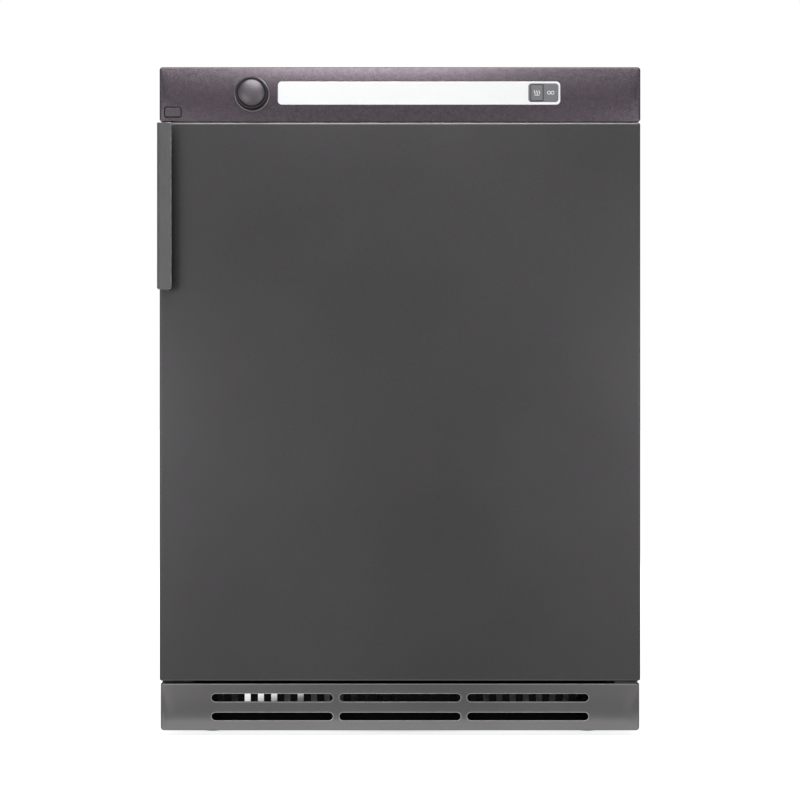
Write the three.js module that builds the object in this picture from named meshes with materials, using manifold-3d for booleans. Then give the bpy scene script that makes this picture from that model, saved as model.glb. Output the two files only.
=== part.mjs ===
// A vented, front-loading tumble dryer for a 60 cm niche, in millimetres, +Z up.
// X runs across, seen from the front. Depths (Y) are counted back from the door's front face, and the
// whole group is then shifted so that the machine's box is centred. Heights are counted from the floor.
import * as THREE from 'three';
import { mergeVertices } from 'three/addons/utils/BufferGeometryUtils.js';
import Module from 'manifold-3d';

const wasm = await Module();
wasm.setup();

// ---- Overall sizes ----
const cabinetWidth = 595;
const cabinetDepth = 585;
const cabinetHeight = 830;
const skin = 1.5; // folded sheet steel
const moulding = 2.5; // wall of the plastic mouldings
const fit = 0.3; // gap between two pieces that touch
const halfWidth = cabinetWidth / 2;

// ---- Front, from the floor up ----
const footShow = 7; // clear height under the plinth
const plinthHeight = 58;
const plinthRecess = 14; // plinth behind the door's face
const plinthTop = footShow + plinthHeight;
const gapBelowDoor = 5.6;
const doorBottom = plinthTop + gapBelowDoor;
const fasciaHeight = 68;
const fasciaBottom = cabinetHeight - fasciaHeight;
const gapAboveDoor = 0.8;
const doorTop = fasciaBottom - gapAboveDoor;

// ---- Drum and loading opening ----
const drumHeight = 447; // drum axis above the floor
const drumRadius = 280;
const neckStep = 55; // from the drum's side in to its neck
const neckGap = 30; // from the neck in to the collar
const lipRadius = drumRadius - neckStep; // neck of the drum that runs on the rollers
const collarRadius = lipRadius - neckGap; // inside of the loading opening

// ---- Door ----
const doorPanDepth = 30;
const linerSheet = 2;
const doorBack = doorPanDepth + fit + linerSheet;
const sealGap = 3.7; // squeezed seal between liner and bulkhead
const cabinetFront = doorBack + sealGap;
const doorEdgeRadius = 2.5;
const plugDepth = 22; // how far the liner's plug reaches into the collar
const plugRadius = collarRadius - 17;
const plugTipRadius = plugRadius - 26;
const linerInset = 4;
const doorFlange = 14;
const sealInner = collarRadius + 5;
const sealOuter = sealInner + 12;

// ---- Handle ----
const handleProud = 35;
const handleWidth = 18;
const handleHeight = 204;
const handleDrop = 3.7; // below the door's top edge
const handleSheet = 3.5;
const handleFoot = 12;

// ---- Hinges ----
const hingeInset = 7.5; // pin axis from the door's right edge
const hingeDepth = 16; // pin axis behind the door's front face, so the door's edge clears the cabinet
const hingeX = halfWidth - hingeInset;
const pinRadius = 3;
const bushWall = 2;
const bushRadius = pinRadius + fit + bushWall;
const pinReach = 14; // length of pin inside the door
const hingeLeaf = 3;
const hingeAir = 1.3; // between the lower leaf and the door

// ---- Controls, in the fascia ----
const fasciaCrown = 2;
const fasciaCorner = 4;
const fasciaSteps = 6;
const fasciaInside = moulding + 1; // deepest point of the front wall's inner face
const knobX = -182.8;
const knobHeight = fasciaBottom + 34.1;
const knobRadius = 20;
const knobProud = 17;
const knobSeatDepth = 0.4;
const knobFloor = -4;
const knobBore = 3;
const knobStemRadius = 5.5;
const buttonRadius = 16.5;
const buttonProud = 5;
const buttonTravel = 2;
const windowLimits = [-151.1, 198.2, fasciaBottom + 21.1, fasciaBottom + 49.8]; // left, right, bottom, top
const windowRadius = 5;
const windowFront = -2.6;
const keypadLimits = [159.1, 195.5, fasciaBottom + 24.6, fasciaBottom + 46.9];
const keySplit = 177;
const keyRadius = 3.6;
const leftKeyProud = 1.2;
const rightKeyProud = 0.5;
const keyBack = 9;
const boardDepth = 13;
const boardHalf = 215;
const encoderHeight = 3.2;
const buttonEnd = boardDepth - encoderHeight - buttonTravel - fit; // rear end of the button's stem
const switchLimits = [-290.4, -271.2, fasciaBottom + 6.4, fasciaBottom + 17.2];
const switchProud = 1.6;

// ---- Casing ----
const coverHeight = 20;
const panelBottom = 10;
const panelTop = cabinetHeight - coverHeight - fit;
const frontFlange = 18;
const rearFlange = 15;
const panelBack = cabinetDepth - skin - fit; // depth of the side panels' rear flanges
const basePanBottom = 12;
const basePanHeight = 50;
const basePanTop = basePanBottom + basePanHeight;
const basePanFront = cabinetFront + 5;
const basePanBack = panelBack - skin - fit;
const basePanHalf = halfWidth - skin - fit;

const returnDepth = 22; // folded edges of the front bulkhead
const collarBead = 1.5;
const louvreHalf = 255;
const rearField = [-215, 215, 200, 770]; // pressed field of the rear panel: left, right, bottom, top
const rearFieldRadius = 24;
const rearFieldDepth = 8;
const ventRows = 6;
const ventPitch = 11;
const ventGap = 5;
const ventLength = 150;
const ventLeft = -235;
const ventBottom = basePanTop + 46;
const intakeFront = 190;
const intakeBack = intakeFront + 240;
const intakeBays = [[-216, -160], [-146, -128]]; // left and right edges of each bay in the base pan
const rearTrayHalf = 272;
const rearTrayBottom = 150;
const airWindowCount = 6;
const airWindowInner = 62;
const airWindowOuter = drumRadius - 94;
const airSpoke = 5; // half the angle of a spoke, in degrees
const bearingRadius = 24;

// ---- Plinth slots and the louvre behind them ----
const slotHeight = 9.8;
const slotLength = 150.8;
const slotBridge = 8;
const slotCount = 3;
const slotRows = [13, 36.2]; // lower edges above the plinth's bottom
const slatPitch = 16.6;
const slatGap = 7.5;
const louvreBottom = footShow + slotRows[1] - 8;
const louvreRail = 5; // plain margin above and below the gaps

// ---- Collar, drum and its supports ----
const drumSheet = 2;
const collarEnd = 90;
const lipStart = 83;
const drumFront = 98;
const rearSpace = 50; // between the drum's back and the machine's
const drumEnd = cabinetDepth - rearSpace;
const lifterHeight = 58;
const lifterBase = 46;
const shaftRadius = 10;
const runningClearance = 0.3;
const rearBulkheadDepth = drumEnd + 10;
const rollerRadius = 22;
const rollerAngle = 40; // degrees from straight below the axis
const backDish = 14;
const holeRings = [[92, 7], [140, 11]]; // radius and number of air holes in the drum's back
const airHoleRadius = 11;
const lifterTip = 9;
const webRadius = drumRadius - 40; // flat middle of the drum's back
const armReach = webRadius - 35;
const bearingBack = cabinetDepth - 13;
const feltInner = drumRadius - 26;
const feltOuter = feltInner + 14;
const rollerStart = 84;
const rollerEnd = 95;
const rollerStud = 5;

// ---- Drive ----
const motorX = 185;
const motorHeight = basePanTop + 56;
const motorRadius = 56;
const motorStart = 172;
const motorEnd = 300;
const rotorRadius = 6;
const pulleyRadius = 10;
const beltWidth = 10;
const beltThickness = 2.5;
const beltStart = 323;
const beltStep = 12; // degrees of belt between two facets
const idlerRadius = 16;
const idlerRise = 98; // idler axis above the motor's
const idlerHeight = motorHeight + idlerRise;
const idlerPress = 6; // how far the idler bends the belt's slack run inwards
const drumRise = drumHeight - motorHeight;
const runBearing = Math.atan2(drumRise, -motorX)
  - Math.asin((drumRadius - pulleyRadius) / Math.hypot(motorX, drumRise)); // of the straight run up to the drum
const idlerReach = pulleyRadius + idlerRadius + beltThickness - idlerPress;
const idlerX = motorX + (idlerReach + idlerRise * Math.cos(runBearing)) / Math.sin(runBearing);
const pivotX = motorX + 65;
const pivotHeight = motorHeight + 14;
const studRadius = 4;
const idlerArmDepth = 337;
const motorBoss = 18;

// ---- Air path ----
const blowerRadius = 64;
const blowerStart = 106;
const blowerDepth = 46;
const bladeCount = 14;
const scrollInner = 70;
const scrollOuter = 92;
const scrollSteps = 16;
const mouthEdge = 100; // where the scroll meets the exhaust elbow
const mouthTop = motorHeight - 24;
const inletRadius = 46;
const spigotX = 45;
const spigotRadius = 50;
const spigotHeight = motorHeight - scrollOuter + spigotRadius;
const spigotProud = 35;
const filterStart = 62;
const filterThickness = 13;
const filterMargin = 83; // from the filter's edge out to the collar's side
const filterHalfWidth = collarRadius - filterMargin;
const filterHeight = 96;
const filterPlay = 0.4;
const ductFloor = 18; // below the filter
const ductSwell = 53; // duct radius round the blower's inlet
const ductBack = 80;

const heaterLimits = [-150, 150, 166, 252];
const heaterDepth = 26;
const heaterRuns = 4;
const heaterFirst = 13;
const heaterPitch = 20;
const elementRadius = 3.5;

// ---- Feet ----
const footX = 237;
const footSetback = 62; // front and rear foot axes from the cabinet's faces
const footPadRadius = 15;
const footPadHeight = 6;
const footScrewRadius = 5;
const footBoss = 16;
const footScrewReach = 38;
const footPlaces = [
  [-footX, cabinetFront + footSetback - 20],
  [footX, cabinetFront + footSetback - 20],
  [-footX, cabinetDepth - footSetback],
  [footX, cabinetDepth - footSetback],
];

// ---- Latch ----
const latchX = -250;
const latchReach = 14;
const latchHeight = drumHeight - 30;
const latchHoleLimits = [latchX - 8, latchX + 8, latchHeight - 22, latchHeight + 22];

const frontShift = -(handleProud + cabinetDepth + spigotProud) / 2 + handleProud;

// ---- Facets round one turn ----
const drumSteps = 32;
const neckInside = (lipRadius - drumSheet) * Math.cos(Math.PI / drumSteps); // least radius inside the neck
const largeSteps = 24;
const knobSteps = 20;
const mediumSteps = 16;
const smallSteps = 12;
const screwSteps = 8;

// ---- Finishes ----
const finish = (color, roughness, metalness) => ({ color, roughness, metalness });
const graphitePaint = finish(0x4b4a4b, 0.45, 0.5);
const purpleGreyMoulding = finish(0x5d5257, 0.35, 0.45);
const zincSteel = finish(0xa9adb0, 0.4, 0.85);
const stainless = finish(0xc3c5c6, 0.28, 0.95);
const whiteGloss = finish(0xf6f6f6, 0.25, 0);
const keyGrey = finish(0x7f7f82, 0.5, 0.1);
const blackPlastic = finish(0x1b1b1d, 0.5, 0);
const greyPlastic = finish(0x8c8f92, 0.55, 0);
const rubber = finish(0x232323, 0.85, 0);
const felt = finish(0xb9b2a4, 0.95, 0);
const boardGreen = finish(0x2f6b45, 0.6, 0.05);

// ---- Solids from three.js geometry ----
function solidOf(geometry) {
  const loose = geometry.index ? geometry.toNonIndexed() : geometry.clone();
  loose.deleteAttribute('normal');
  loose.deleteAttribute('uv');
  const merged = mergeVertices(loose, 1e-4);
  const at = merged.attributes.position.array;
  const corners = [];
  let volume = 0;
  for (let i = 0; i < merged.index.count; i += 3) {
    const [a, b, c] = merged.index.array.slice(i, i + 3);
    if (a === b || b === c || c === a) continue;
    corners.push(a, b, c);
    const pa = new THREE.Vector3().fromArray(at, 3 * a);
    const pb = new THREE.Vector3().fromArray(at, 3 * b);
    const pc = new THREE.Vector3().fromArray(at, 3 * c);
    volume += pa.dot(pb.cross(pc));
  }
  if (volume < 0) corners.reverse();
  const mesh = new wasm.Mesh({
    numProp: 3,
    vertProperties: new Float32Array(at),
    triVerts: new Uint32Array(corners),
  });
  return new wasm.Manifold(mesh);
}

function geometryOf(solid) {
  const mesh = solid.getMesh();
  const geometry = new THREE.BufferGeometry();
  geometry.setAttribute('position', new THREE.BufferAttribute(mesh.vertProperties, 3));
  geometry.setIndex(new THREE.BufferAttribute(mesh.triVerts, 1));
  return geometry;
}

const unite = (...solids) => solids.reduce((whole, next) => whole.add(next));

// ---- Outlines ----
function arc(cx, cy, radius, fromDegrees, toDegrees, steps) {
  const points = [];
  for (let i = 0; i <= steps; i += 1) {
    const angle = THREE.MathUtils.degToRad(fromDegrees + ((toDegrees - fromDegrees) * i) / steps);
    points.push(new THREE.Vector2(cx + radius * Math.cos(angle), cy + radius * Math.sin(angle)));
  }
  return points;
}

const disc = (cx, cy, radius, steps = mediumSteps) => arc(cx, cy, radius, 0, 360, steps).slice(0, -1);

// Rectangle with its own radius at each corner, counted from the lower left against the clock.
function roundedBox(x0, x1, y0, y1, radii, steps = 3) {
  const [r0, r1, r2, r3] = Array.isArray(radii) ? radii : [radii, radii, radii, radii];
  const corner = (x, y, cx, cy, r, from) =>
    r > 0 ? arc(x + cx * r, y + cy * r, r, from, from + 90, steps) : [new THREE.Vector2(x, y)];
  return [
    ...corner(x0, y0, 1, 1, r0, 180),
    ...corner(x1, y0, -1, 1, r1, 270),
    ...corner(x1, y1, -1, -1, r2, 0),
    ...corner(x0, y1, 1, -1, r3, 90),
  ];
}

const polygon = (...pairs) => pairs.map(([x, y]) => new THREE.Vector2(x, y));

// ---- Extrusions and turned solids ----
// Along x an outline is drawn in depth and height, along y in width and height, along z in width and depth.
const frames = {
  x: new THREE.Matrix4().makeBasis(
    new THREE.Vector3(0, 1, 0), new THREE.Vector3(0, 0, 1), new THREE.Vector3(1, 0, 0)),
  y: new THREE.Matrix4().makeBasis(
    new THREE.Vector3(1, 0, 0), new THREE.Vector3(0, 0, 1), new THREE.Vector3(0, -1, 0)),
  z: new THREE.Matrix4(),
};

function along(axis, points, from, to, holes = []) {
  const shape = new THREE.Shape(points);
  const geometry = new THREE.ExtrudeGeometry(shape, { depth: to - from, bevelEnabled: false, curveSegments: 1 });
  geometry.applyMatrix4(frames[axis]);
  const start = { x: [from, 0, 0], y: [0, to, 0], z: [0, 0, from] }[axis];
  geometry.translate(...start);
  return holes.reduce((solid, hole) => solid.subtract(along(axis, hole, from - 1, to + 1)), solidOf(geometry));
}

const block = (x0, x1, y0, y1, z0, z1) =>
  along('z', roundedBox(Math.min(x0, x1), Math.max(x0, x1), y0, y1, 0), z0, z1);

// A profile of [radius, station] pairs, turned about an axis that runs through [across, along, up].
function turned(axis, profile, steps = mediumSteps, centre = [0, 0, 0]) {
  const points = profile.map(([r, s]) => new THREE.Vector2(r, s));
  const last = points.at(-1);
  if (points[0].x > 0 || last.x > 0) points.push(points[0].clone());
  const geometry = new THREE.LatheGeometry(points, steps);
  if (axis === 'z') geometry.rotateX(Math.PI / 2);
  if (axis === 'x') geometry.rotateZ(-Math.PI / 2);
  geometry.translate(...centre);
  return solidOf(geometry);
}

const rod = (axis, radius, from, to, centre = [0, 0, 0], steps = mediumSteps) =>
  turned(axis, [[0, from], [radius, from], [radius, to], [0, to]], steps, centre);

const ring = (axis, inner, outer, from, to, centre = [0, 0, 0], steps = mediumSteps) =>
  turned(axis, [[inner, from], [outer, from], [outer, to], [inner, to]], steps, centre);

// ---- Scene graph ----
const dryer = new THREE.Group();
dryer.position.y = frontShift;

function piece(group, name, solid, look, place = [0, 0, 0]) {
  const mesh = new THREE.Mesh(geometryOf(solid), new THREE.MeshStandardMaterial(look));
  mesh.name = name;
  mesh.position.set(...place);
  group.add(mesh);
  return mesh;
}

function subAssembly(place = [0, 0, 0]) {
  const group = new THREE.Group();
  group.position.set(...place);
  dryer.add(group);
  return group;
}

// Pan with a floor at one end of its extrusion, open at the other.
function pan(axis, limits, from, to, wall, floorAtEnd, radius = 2) {
  const [a0, a1, b0, b1] = limits;
  const inner = roundedBox(a0 + wall, a1 - wall, b0 + wall, b1 - wall, Math.max(radius - wall, 0));
  const start = floorAtEnd ? from - 1 : from + wall;
  const end = floorAtEnd ? to - wall : to + 1;
  return along(axis, roundedBox(a0, a1, b0, b1, radius), from, to).subtract(along(axis, inner, start, end));
}

// ---- Casing ----
function sidePanel(side) {
  const inwards = (distance) => side * (halfWidth - distance);
  const section = polygon(
    [inwards(frontFlange), cabinetFront], [inwards(0), cabinetFront],
    [inwards(0), panelBack], [inwards(rearFlange), panelBack],
    [inwards(rearFlange), panelBack - skin], [inwards(skin), panelBack - skin],
    [inwards(skin), cabinetFront + skin], [inwards(frontFlange), cabinetFront + skin]);
  const top = polygon(
    [inwards(skin / 2), cabinetFront + skin / 2], [inwards(skin / 2), panelBack - skin / 2],
    [inwards(rearFlange - 2), panelBack - skin / 2], [inwards(rearFlange - 2), cabinetFront + skin / 2]);
  return along('z', section, panelBottom, panelTop).add(along('z', top, panelTop - skin, panelTop));
}

function frontBulkhead() {
  const edge = halfWidth - frontFlange - fit;
  const bottom = basePanTop + fit;
  const plate = along('y', roundedBox(-edge, edge, bottom, panelTop, 0), cabinetFront, cabinetFront + skin);
  const returns = [-1, 1].map((side) =>
    block(side * edge, side * (edge - skin), cabinetFront, cabinetFront + returnDepth, bottom, panelTop));
  const foot = block(-edge, edge, cabinetFront, cabinetFront + returnDepth, bottom, bottom + skin);
  const head = block(-edge, edge, cabinetFront, cabinetFront + returnDepth, panelTop - skin, panelTop);
  const collar = turned('y', [
    [collarRadius, cabinetFront - collarBead],
    [collarRadius + skin, cabinetFront - collarBead],
    [collarRadius + skin, collarEnd],
    [collarRadius, collarEnd],
  ], drumSteps, [0, 0, drumHeight]);
  const mouth = rod('y', collarRadius + skin / 2, cabinetFront - 5, cabinetFront + skin + 1, [0, 0, drumHeight], drumSteps);
  const filterSlot = block(
    -filterHalfWidth - filterPlay, filterHalfWidth + filterPlay,
    filterStart - filterPlay, filterStart + filterThickness + filterPlay,
    drumHeight - collarRadius - 20, drumHeight);
  const latchHole = along('y', roundedBox(...latchHoleLimits, 3), cabinetFront - 1, cabinetFront + skin + 1);
  return unite(plate.subtract(mouth), ...returns, foot, head)
    .add(collar.subtract(filterSlot))
    .subtract(latchHole);
}

function topCover() {
  const limits = [-halfWidth, halfWidth, cabinetFront, cabinetDepth];
  return pan('z', limits, panelTop + fit, cabinetHeight, skin, true, 3);
}

function rearPanel() {
  const from = cabinetDepth - skin;
  const outline = roundedBox(-halfWidth, halfWidth, panelBottom, panelTop, 2);
  const opening = roundedBox(...rearField, rearFieldRadius);
  const spigotHole = disc(spigotX, spigotHeight, spigotRadius + 1);
  const vents = [];
  for (let row = 0; row < ventRows; row += 1) {
    const z = ventBottom + row * ventPitch;
    vents.push(roundedBox(ventLeft, ventLeft + ventLength, z, z + ventGap, ventGap / 2, 1));
  }
  const sheet = along('y', outline, from, cabinetDepth, [opening, spigotHole, ...vents]);
  const [x0, x1, z0, z1] = rearField;
  const overlap = skin / 2;
  const field = pan('y', [x0 - overlap, x1 + overlap, z0 - overlap, z1 + overlap],
    cabinetDepth - rearFieldDepth, cabinetDepth, skin, false, rearFieldRadius);
  return sheet.add(field);
}

function basePan() {
  const limits = [-basePanHalf, basePanHalf, basePanFront, basePanBack];
  const tray = pan('z', limits, basePanBottom, basePanTop, skin, false, 1);
  const louvreWindow = block(-louvreHalf + 12, louvreHalf - 12, basePanFront - 1, basePanFront + skin + 1,
    basePanBottom + 6, basePanTop - 6);
  const intakes = intakeBays.map(([x0, x1]) =>
    along('z', roundedBox(x0, x1, intakeFront, intakeBack, 8), basePanBottom - 1, basePanBottom + skin + 1));
  const exhaustPass = rod('y', spigotRadius + 3, basePanBack - 10, basePanBack + 10, [spigotX, 0, spigotHeight]);
  let base = tray.subtract(unite(louvreWindow, exhaustPass, ...intakes));
  for (const [x, depth] of footPlaces) {
    const boss = ring('z', footScrewRadius, footScrewRadius + 5, basePanBottom, basePanBottom + footBoss,
      [x, depth, 0], screwSteps);
    const hole = rod('z', footScrewRadius + runningClearance, basePanBottom - 1, basePanBottom + footBoss + 1,
      [x, depth, 0], screwSteps);
    base = base.add(boss).subtract(hole);
  }
  return base;
}

function plinthGrille() {
  const bottom = footShow;
  const top = plinthTop;
  const outer = along('y', roundedBox(-halfWidth, halfWidth, bottom, top, 3),
    plinthRecess, cabinetFront - fit);
  const profile = along('x', [
    ...arc(plinthRecess + 3, bottom + 3, 3, 180, 270, 3),
    ...polygon([cabinetFront, bottom], [cabinetFront, top]),
    ...arc(plinthRecess + 3, top - 3, 3, 90, 180, 3),
  ], -halfWidth, halfWidth);
  const cavity = along('y', roundedBox(-halfWidth + moulding, halfWidth - moulding,
    bottom + moulding, top - moulding, 1), plinthRecess + moulding, cabinetFront);
  let plinth = outer.intersect(profile).subtract(cavity);
  const span = slotCount * slotLength + (slotCount - 1) * slotBridge;
  for (const row of slotRows) {
    for (let i = 0; i < slotCount; i += 1) {
      const x = -span / 2 + i * (slotLength + slotBridge);
      const z = bottom + row;
      const outline = roundedBox(x, x + slotLength, z, z + slotHeight, slotHeight / 2, 2);
      plinth = plinth.subtract(along('y', outline, plinthRecess - 1, plinthRecess + moulding + 1));
    }
  }
  return plinth;
}

// Upright slats behind the plinth's upper slots, punched from one plate on the base pan's front wall.
function airLouvre() {
  const gaps = [];
  const count = Math.floor((2 * louvreHalf - 30) / slatPitch);
  for (let i = 0; i < count; i += 1) {
    const x = (i - (count - 1) / 2) * slatPitch - slatGap / 2;
    gaps.push(roundedBox(x, x + slatGap, louvreBottom + louvreRail, basePanTop - louvreRail, 0));
  }
  const outline = roundedBox(-louvreHalf, louvreHalf, louvreBottom, basePanTop, 2);
  const back = basePanFront - fit;
  return along('y', outline, back - skin, back, gaps);
}

function rearBulkhead() {
  const limits = [-rearTrayHalf, rearTrayHalf, rearTrayBottom, panelTop - 12];
  const tray = pan('y', limits, rearBulkheadDepth, panelBack, skin, false, 6);
  const windows = [];
  for (let i = 0; i < airWindowCount; i += 1) {
    const from = (360 * i) / airWindowCount + airSpoke;
    const to = (360 * (i + 1)) / airWindowCount - airSpoke;
    const outer = arc(0, drumHeight, airWindowOuter, from, to, 5);
    const inner = arc(0, drumHeight, airWindowInner, to, from, 3);
    windows.push(along('y', [...outer, ...inner], rearBulkheadDepth - 1, rearBulkheadDepth + skin + 1));
  }
  const hub = rod('y', bearingRadius + runningClearance, rearBulkheadDepth - 1, rearBulkheadDepth + skin + 1,
    [0, 0, drumHeight]);
  return tray.subtract(unite(hub, ...windows));
}

function buildCasing() {
  const casing = subAssembly();
  piece(casing, 'left_side_panel', sidePanel(-1), graphitePaint);
  piece(casing, 'right_side_panel', sidePanel(1), graphitePaint);
  piece(casing, 'rear_panel', rearPanel(), zincSteel);
  piece(casing, 'top_cover', topCover(), graphitePaint);
  piece(casing, 'base_pan', basePan(), zincSteel);
  piece(casing, 'front_bulkhead', frontBulkhead(), graphitePaint);
  piece(casing, 'rear_bulkhead', rearBulkhead(), zincSteel);
  piece(casing, 'plinth_grille', plinthGrille(), graphitePaint);
  piece(casing, 'air_louvre', airLouvre(), blackPlastic);
}

// ---- Feet ----
function levellingFoot() {
  const pad = turned('z', [
    [0, 0], [footPadRadius, 0], [footPadRadius, footPadHeight - 1.5],
    [footPadRadius - 3, footPadHeight], [0, footPadHeight],
  ]);
  const hexagon = along('z', disc(0, 0, footScrewRadius + 4, 6), footPadHeight - 1, basePanBottom - fit);
  const screw = rod('z', footScrewRadius, footPadHeight - 1, basePanBottom + footScrewReach, [0, 0, 0], screwSteps);
  return unite(pad, hexagon, screw);
}

function buildFeet() {
  const names = ['front_left_foot', 'front_right_foot', 'rear_left_foot', 'rear_right_foot'];
  names.forEach((name, i) => piece(dryer, name, levellingFoot(), blackPlastic, [...footPlaces[i], 0]));
}

// ---- Door ----
function doorOuterPanel() {
  const r = doorEdgeRadius;
  const plan = along('z', roundedBox(-halfWidth, halfWidth, 0, doorPanDepth, [r, r, 0, 0]), doorBottom, doorTop);
  const section = roundedBox(0, doorPanDepth, doorBottom, doorTop, [r, 0, 0, r]);
  const cavity = block(-halfWidth + skin, halfWidth - skin, skin, doorPanDepth - skin,
    doorBottom + skin, doorTop - skin);
  const back = block(-halfWidth + doorFlange, halfWidth - doorFlange, doorPanDepth - 5, doorPanDepth + 1,
    doorBottom + doorFlange, doorTop - doorFlange);
  const pinHole = rod('z', bushRadius + fit, doorBottom - 1, doorTop + 1, [hingeX, hingeDepth, 0], smallSteps);
  return plan.intersect(along('x', section, -halfWidth, halfWidth)).subtract(unite(cavity, back, pinHole));
}

function doorInnerLiner() {
  const from = doorPanDepth + fit;
  const sheet = along('y', roundedBox(-halfWidth + linerInset, halfWidth - linerInset,
    doorBottom + linerInset, doorTop - linerInset, 4), from, doorBack);
  const dish = (reduce) => turned('y', [
    [0, reduce > 0 ? from - 1 : from],
    [plugRadius - reduce, reduce > 0 ? from - 1 : from],
    [plugRadius - reduce - 6, doorBack + plugDepth - 6 - reduce],
    [plugTipRadius - reduce, doorBack + plugDepth - reduce],
    [plugTipRadius - 45, doorBack + plugDepth - reduce - 6],
    [0, doorBack + plugDepth - reduce - 6],
  ], drumSteps, [0, 0, drumHeight]);
  return sheet.add(dish(0)).subtract(dish(linerSheet));
}

function doorSeal() {
  const from = doorBack + fit;
  const to = cabinetFront - fit;
  const nose = (sealOuter - sealInner) / 3;
  return turned('y', [
    [sealInner, from], [sealOuter, from], [sealOuter - nose, to], [sealInner + nose, to],
  ], drumSteps, [0, 0, drumHeight]);
}

// Sheet folded twice: a foot on the door, a web standing off it and a grip flange turned inwards.
function doorHandle() {
  const left = -halfWidth;
  const r = handleSheet;
  const section = [
    ...arc(left + r, -handleProud + r, r, 180, 270, 4),
    ...polygon(
      [left + handleWidth, -handleProud],
      [left + handleWidth, -handleProud + handleSheet],
      [left + handleSheet, -handleProud + handleSheet],
      [left + handleSheet, -handleSheet - fit],
      [left + handleFoot, -handleSheet - fit],
      [left + handleFoot, -fit],
      [left, -fit]),
  ];
  const top = doorTop - handleDrop;
  const bottom = top - handleHeight;
  const front = roundedBox(left, left + handleWidth, bottom, top, [2.5, 2.5, 1, 1]);
  return along('z', section, bottom, top).intersect(along('y', front, -handleProud - 1, 1));
}

function latchHook() {
  const base = roundedBox(latchX - 7, latchX + 7, latchHeight - 18, latchHeight + 18, 3);
  const from = doorBack + fit;
  const tip = cabinetFront + latchReach;
  const tongue = polygon(
    [latchX - 3, from], [latchX + 3, from], [latchX + 3, tip - 7], [latchX + 5, tip - 5],
    [latchX + 2, tip], [latchX - 2, tip], [latchX - 5, tip - 5], [latchX - 3, tip - 7]);
  return along('y', base, from, from + 1.8).add(along('z', tongue, latchHeight - 9, latchHeight + 9));
}

// Nylon barrel on a foot plate, inside the door at one end of its hinge side. end is -1 below, 1 above.
function hingeBush(end) {
  const edge = end < 0 ? doorBottom : doorTop;
  const inside = (distance) => edge - end * distance;
  const foot = block(hingeX - 24, hingeX + bushRadius, hingeDepth - 12, hingeDepth + 8,
    Math.min(inside(skin + fit), inside(skin + fit + 3)), Math.max(inside(skin + fit), inside(skin + fit + 3)));
  const low = Math.min(inside(0), inside(pinReach + 3));
  const high = Math.max(inside(0), inside(pinReach + 3));
  const barrel = rod('z', bushRadius, low, high, [hingeX, hingeDepth, 0], smallSteps);
  const bore = rod('z', pinRadius + runningClearance, low - 1, high + 1, [hingeX, hingeDepth, 0], smallSteps);
  return foot.add(barrel).subtract(bore);
}

function buildDoor() {
  const door = subAssembly();
  piece(door, 'door_outer_panel', doorOuterPanel(), graphitePaint);
  piece(door, 'door_inner_liner', doorInnerLiner(), greyPlastic);
  piece(door, 'door_seal', doorSeal(), rubber);
  piece(door, 'door_handle', doorHandle(), graphitePaint);
  piece(door, 'latch_hook', latchHook(), blackPlastic);
  piece(door, 'lower_hinge_bush', hingeBush(-1), greyPlastic);
  piece(door, 'upper_hinge_bush', hingeBush(1), greyPlastic);
}

// ---- Hinge brackets and latch catch, on the cabinet ----
// Angle with its riveted pin; end is -1 for the one under the door and 1 for the one above it.
function hingeBracket(end) {
  const span = (a, b) => [Math.min(a, b), Math.max(a, b)];
  const near = end < 0 ? doorBottom - hingeAir : fasciaBottom + moulding + fit;
  const far = near + end * hingeLeaf;
  const x0 = hingeX - 24;
  const x1 = hingeX + 4.5;
  const back = cabinetFront - fit;
  const shelf = along('z', roundedBox(x0, x1, hingeDepth - 8, back, [4, 4, 0, 0]), ...span(near, far));
  const tailEnd = far - end * 46;
  const tail = along('y', roundedBox(x0, x1, ...span(far, tailEnd), 0), back - 1.7, back);
  const edge = end < 0 ? doorBottom : doorTop;
  const pin = rod('z', pinRadius, ...span(far, edge - end * pinReach), [hingeX, hingeDepth, 0], smallSteps);
  return unite(shelf, tail, pin);
}

function latchCatch() {
  const from = cabinetFront + skin + fit;
  const limits = [latchX - 14, latchX + 14, latchHeight - 27, latchHeight + 27];
  return pan('y', limits, from, from + latchReach + 8, 2, true, 2);
}

function buildHingesAndCatch() {
  piece(dryer, 'lower_hinge_bracket', hingeBracket(-1), zincSteel);
  piece(dryer, 'upper_hinge_bracket', hingeBracket(1), zincSteel);
  piece(dryer, 'latch_catch', latchCatch(), blackPlastic);
}

// ---- Controls ----
// The fascia's section: a low crown at the front, rounded into its upper and lower edges.
function fasciaSection(inset) {
  const low = fasciaBottom + inset;
  const high = cabinetHeight - inset;
  const points = [];
  for (let i = 0; i <= fasciaSteps; i += 1) {
    const t = (2 * i) / fasciaSteps - 1;
    const crown = fasciaCrown * (1 - t * t) - (Math.abs(t) === 1 ? 1.5 : 0);
    points.push([inset - crown, low + ((high - low) * i) / fasciaSteps]);
  }
  const back = inset > 0 ? cabinetFront + 5 : cabinetFront - fit;
  return polygon([back, low], ...points, [back, high]);
}

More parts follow.
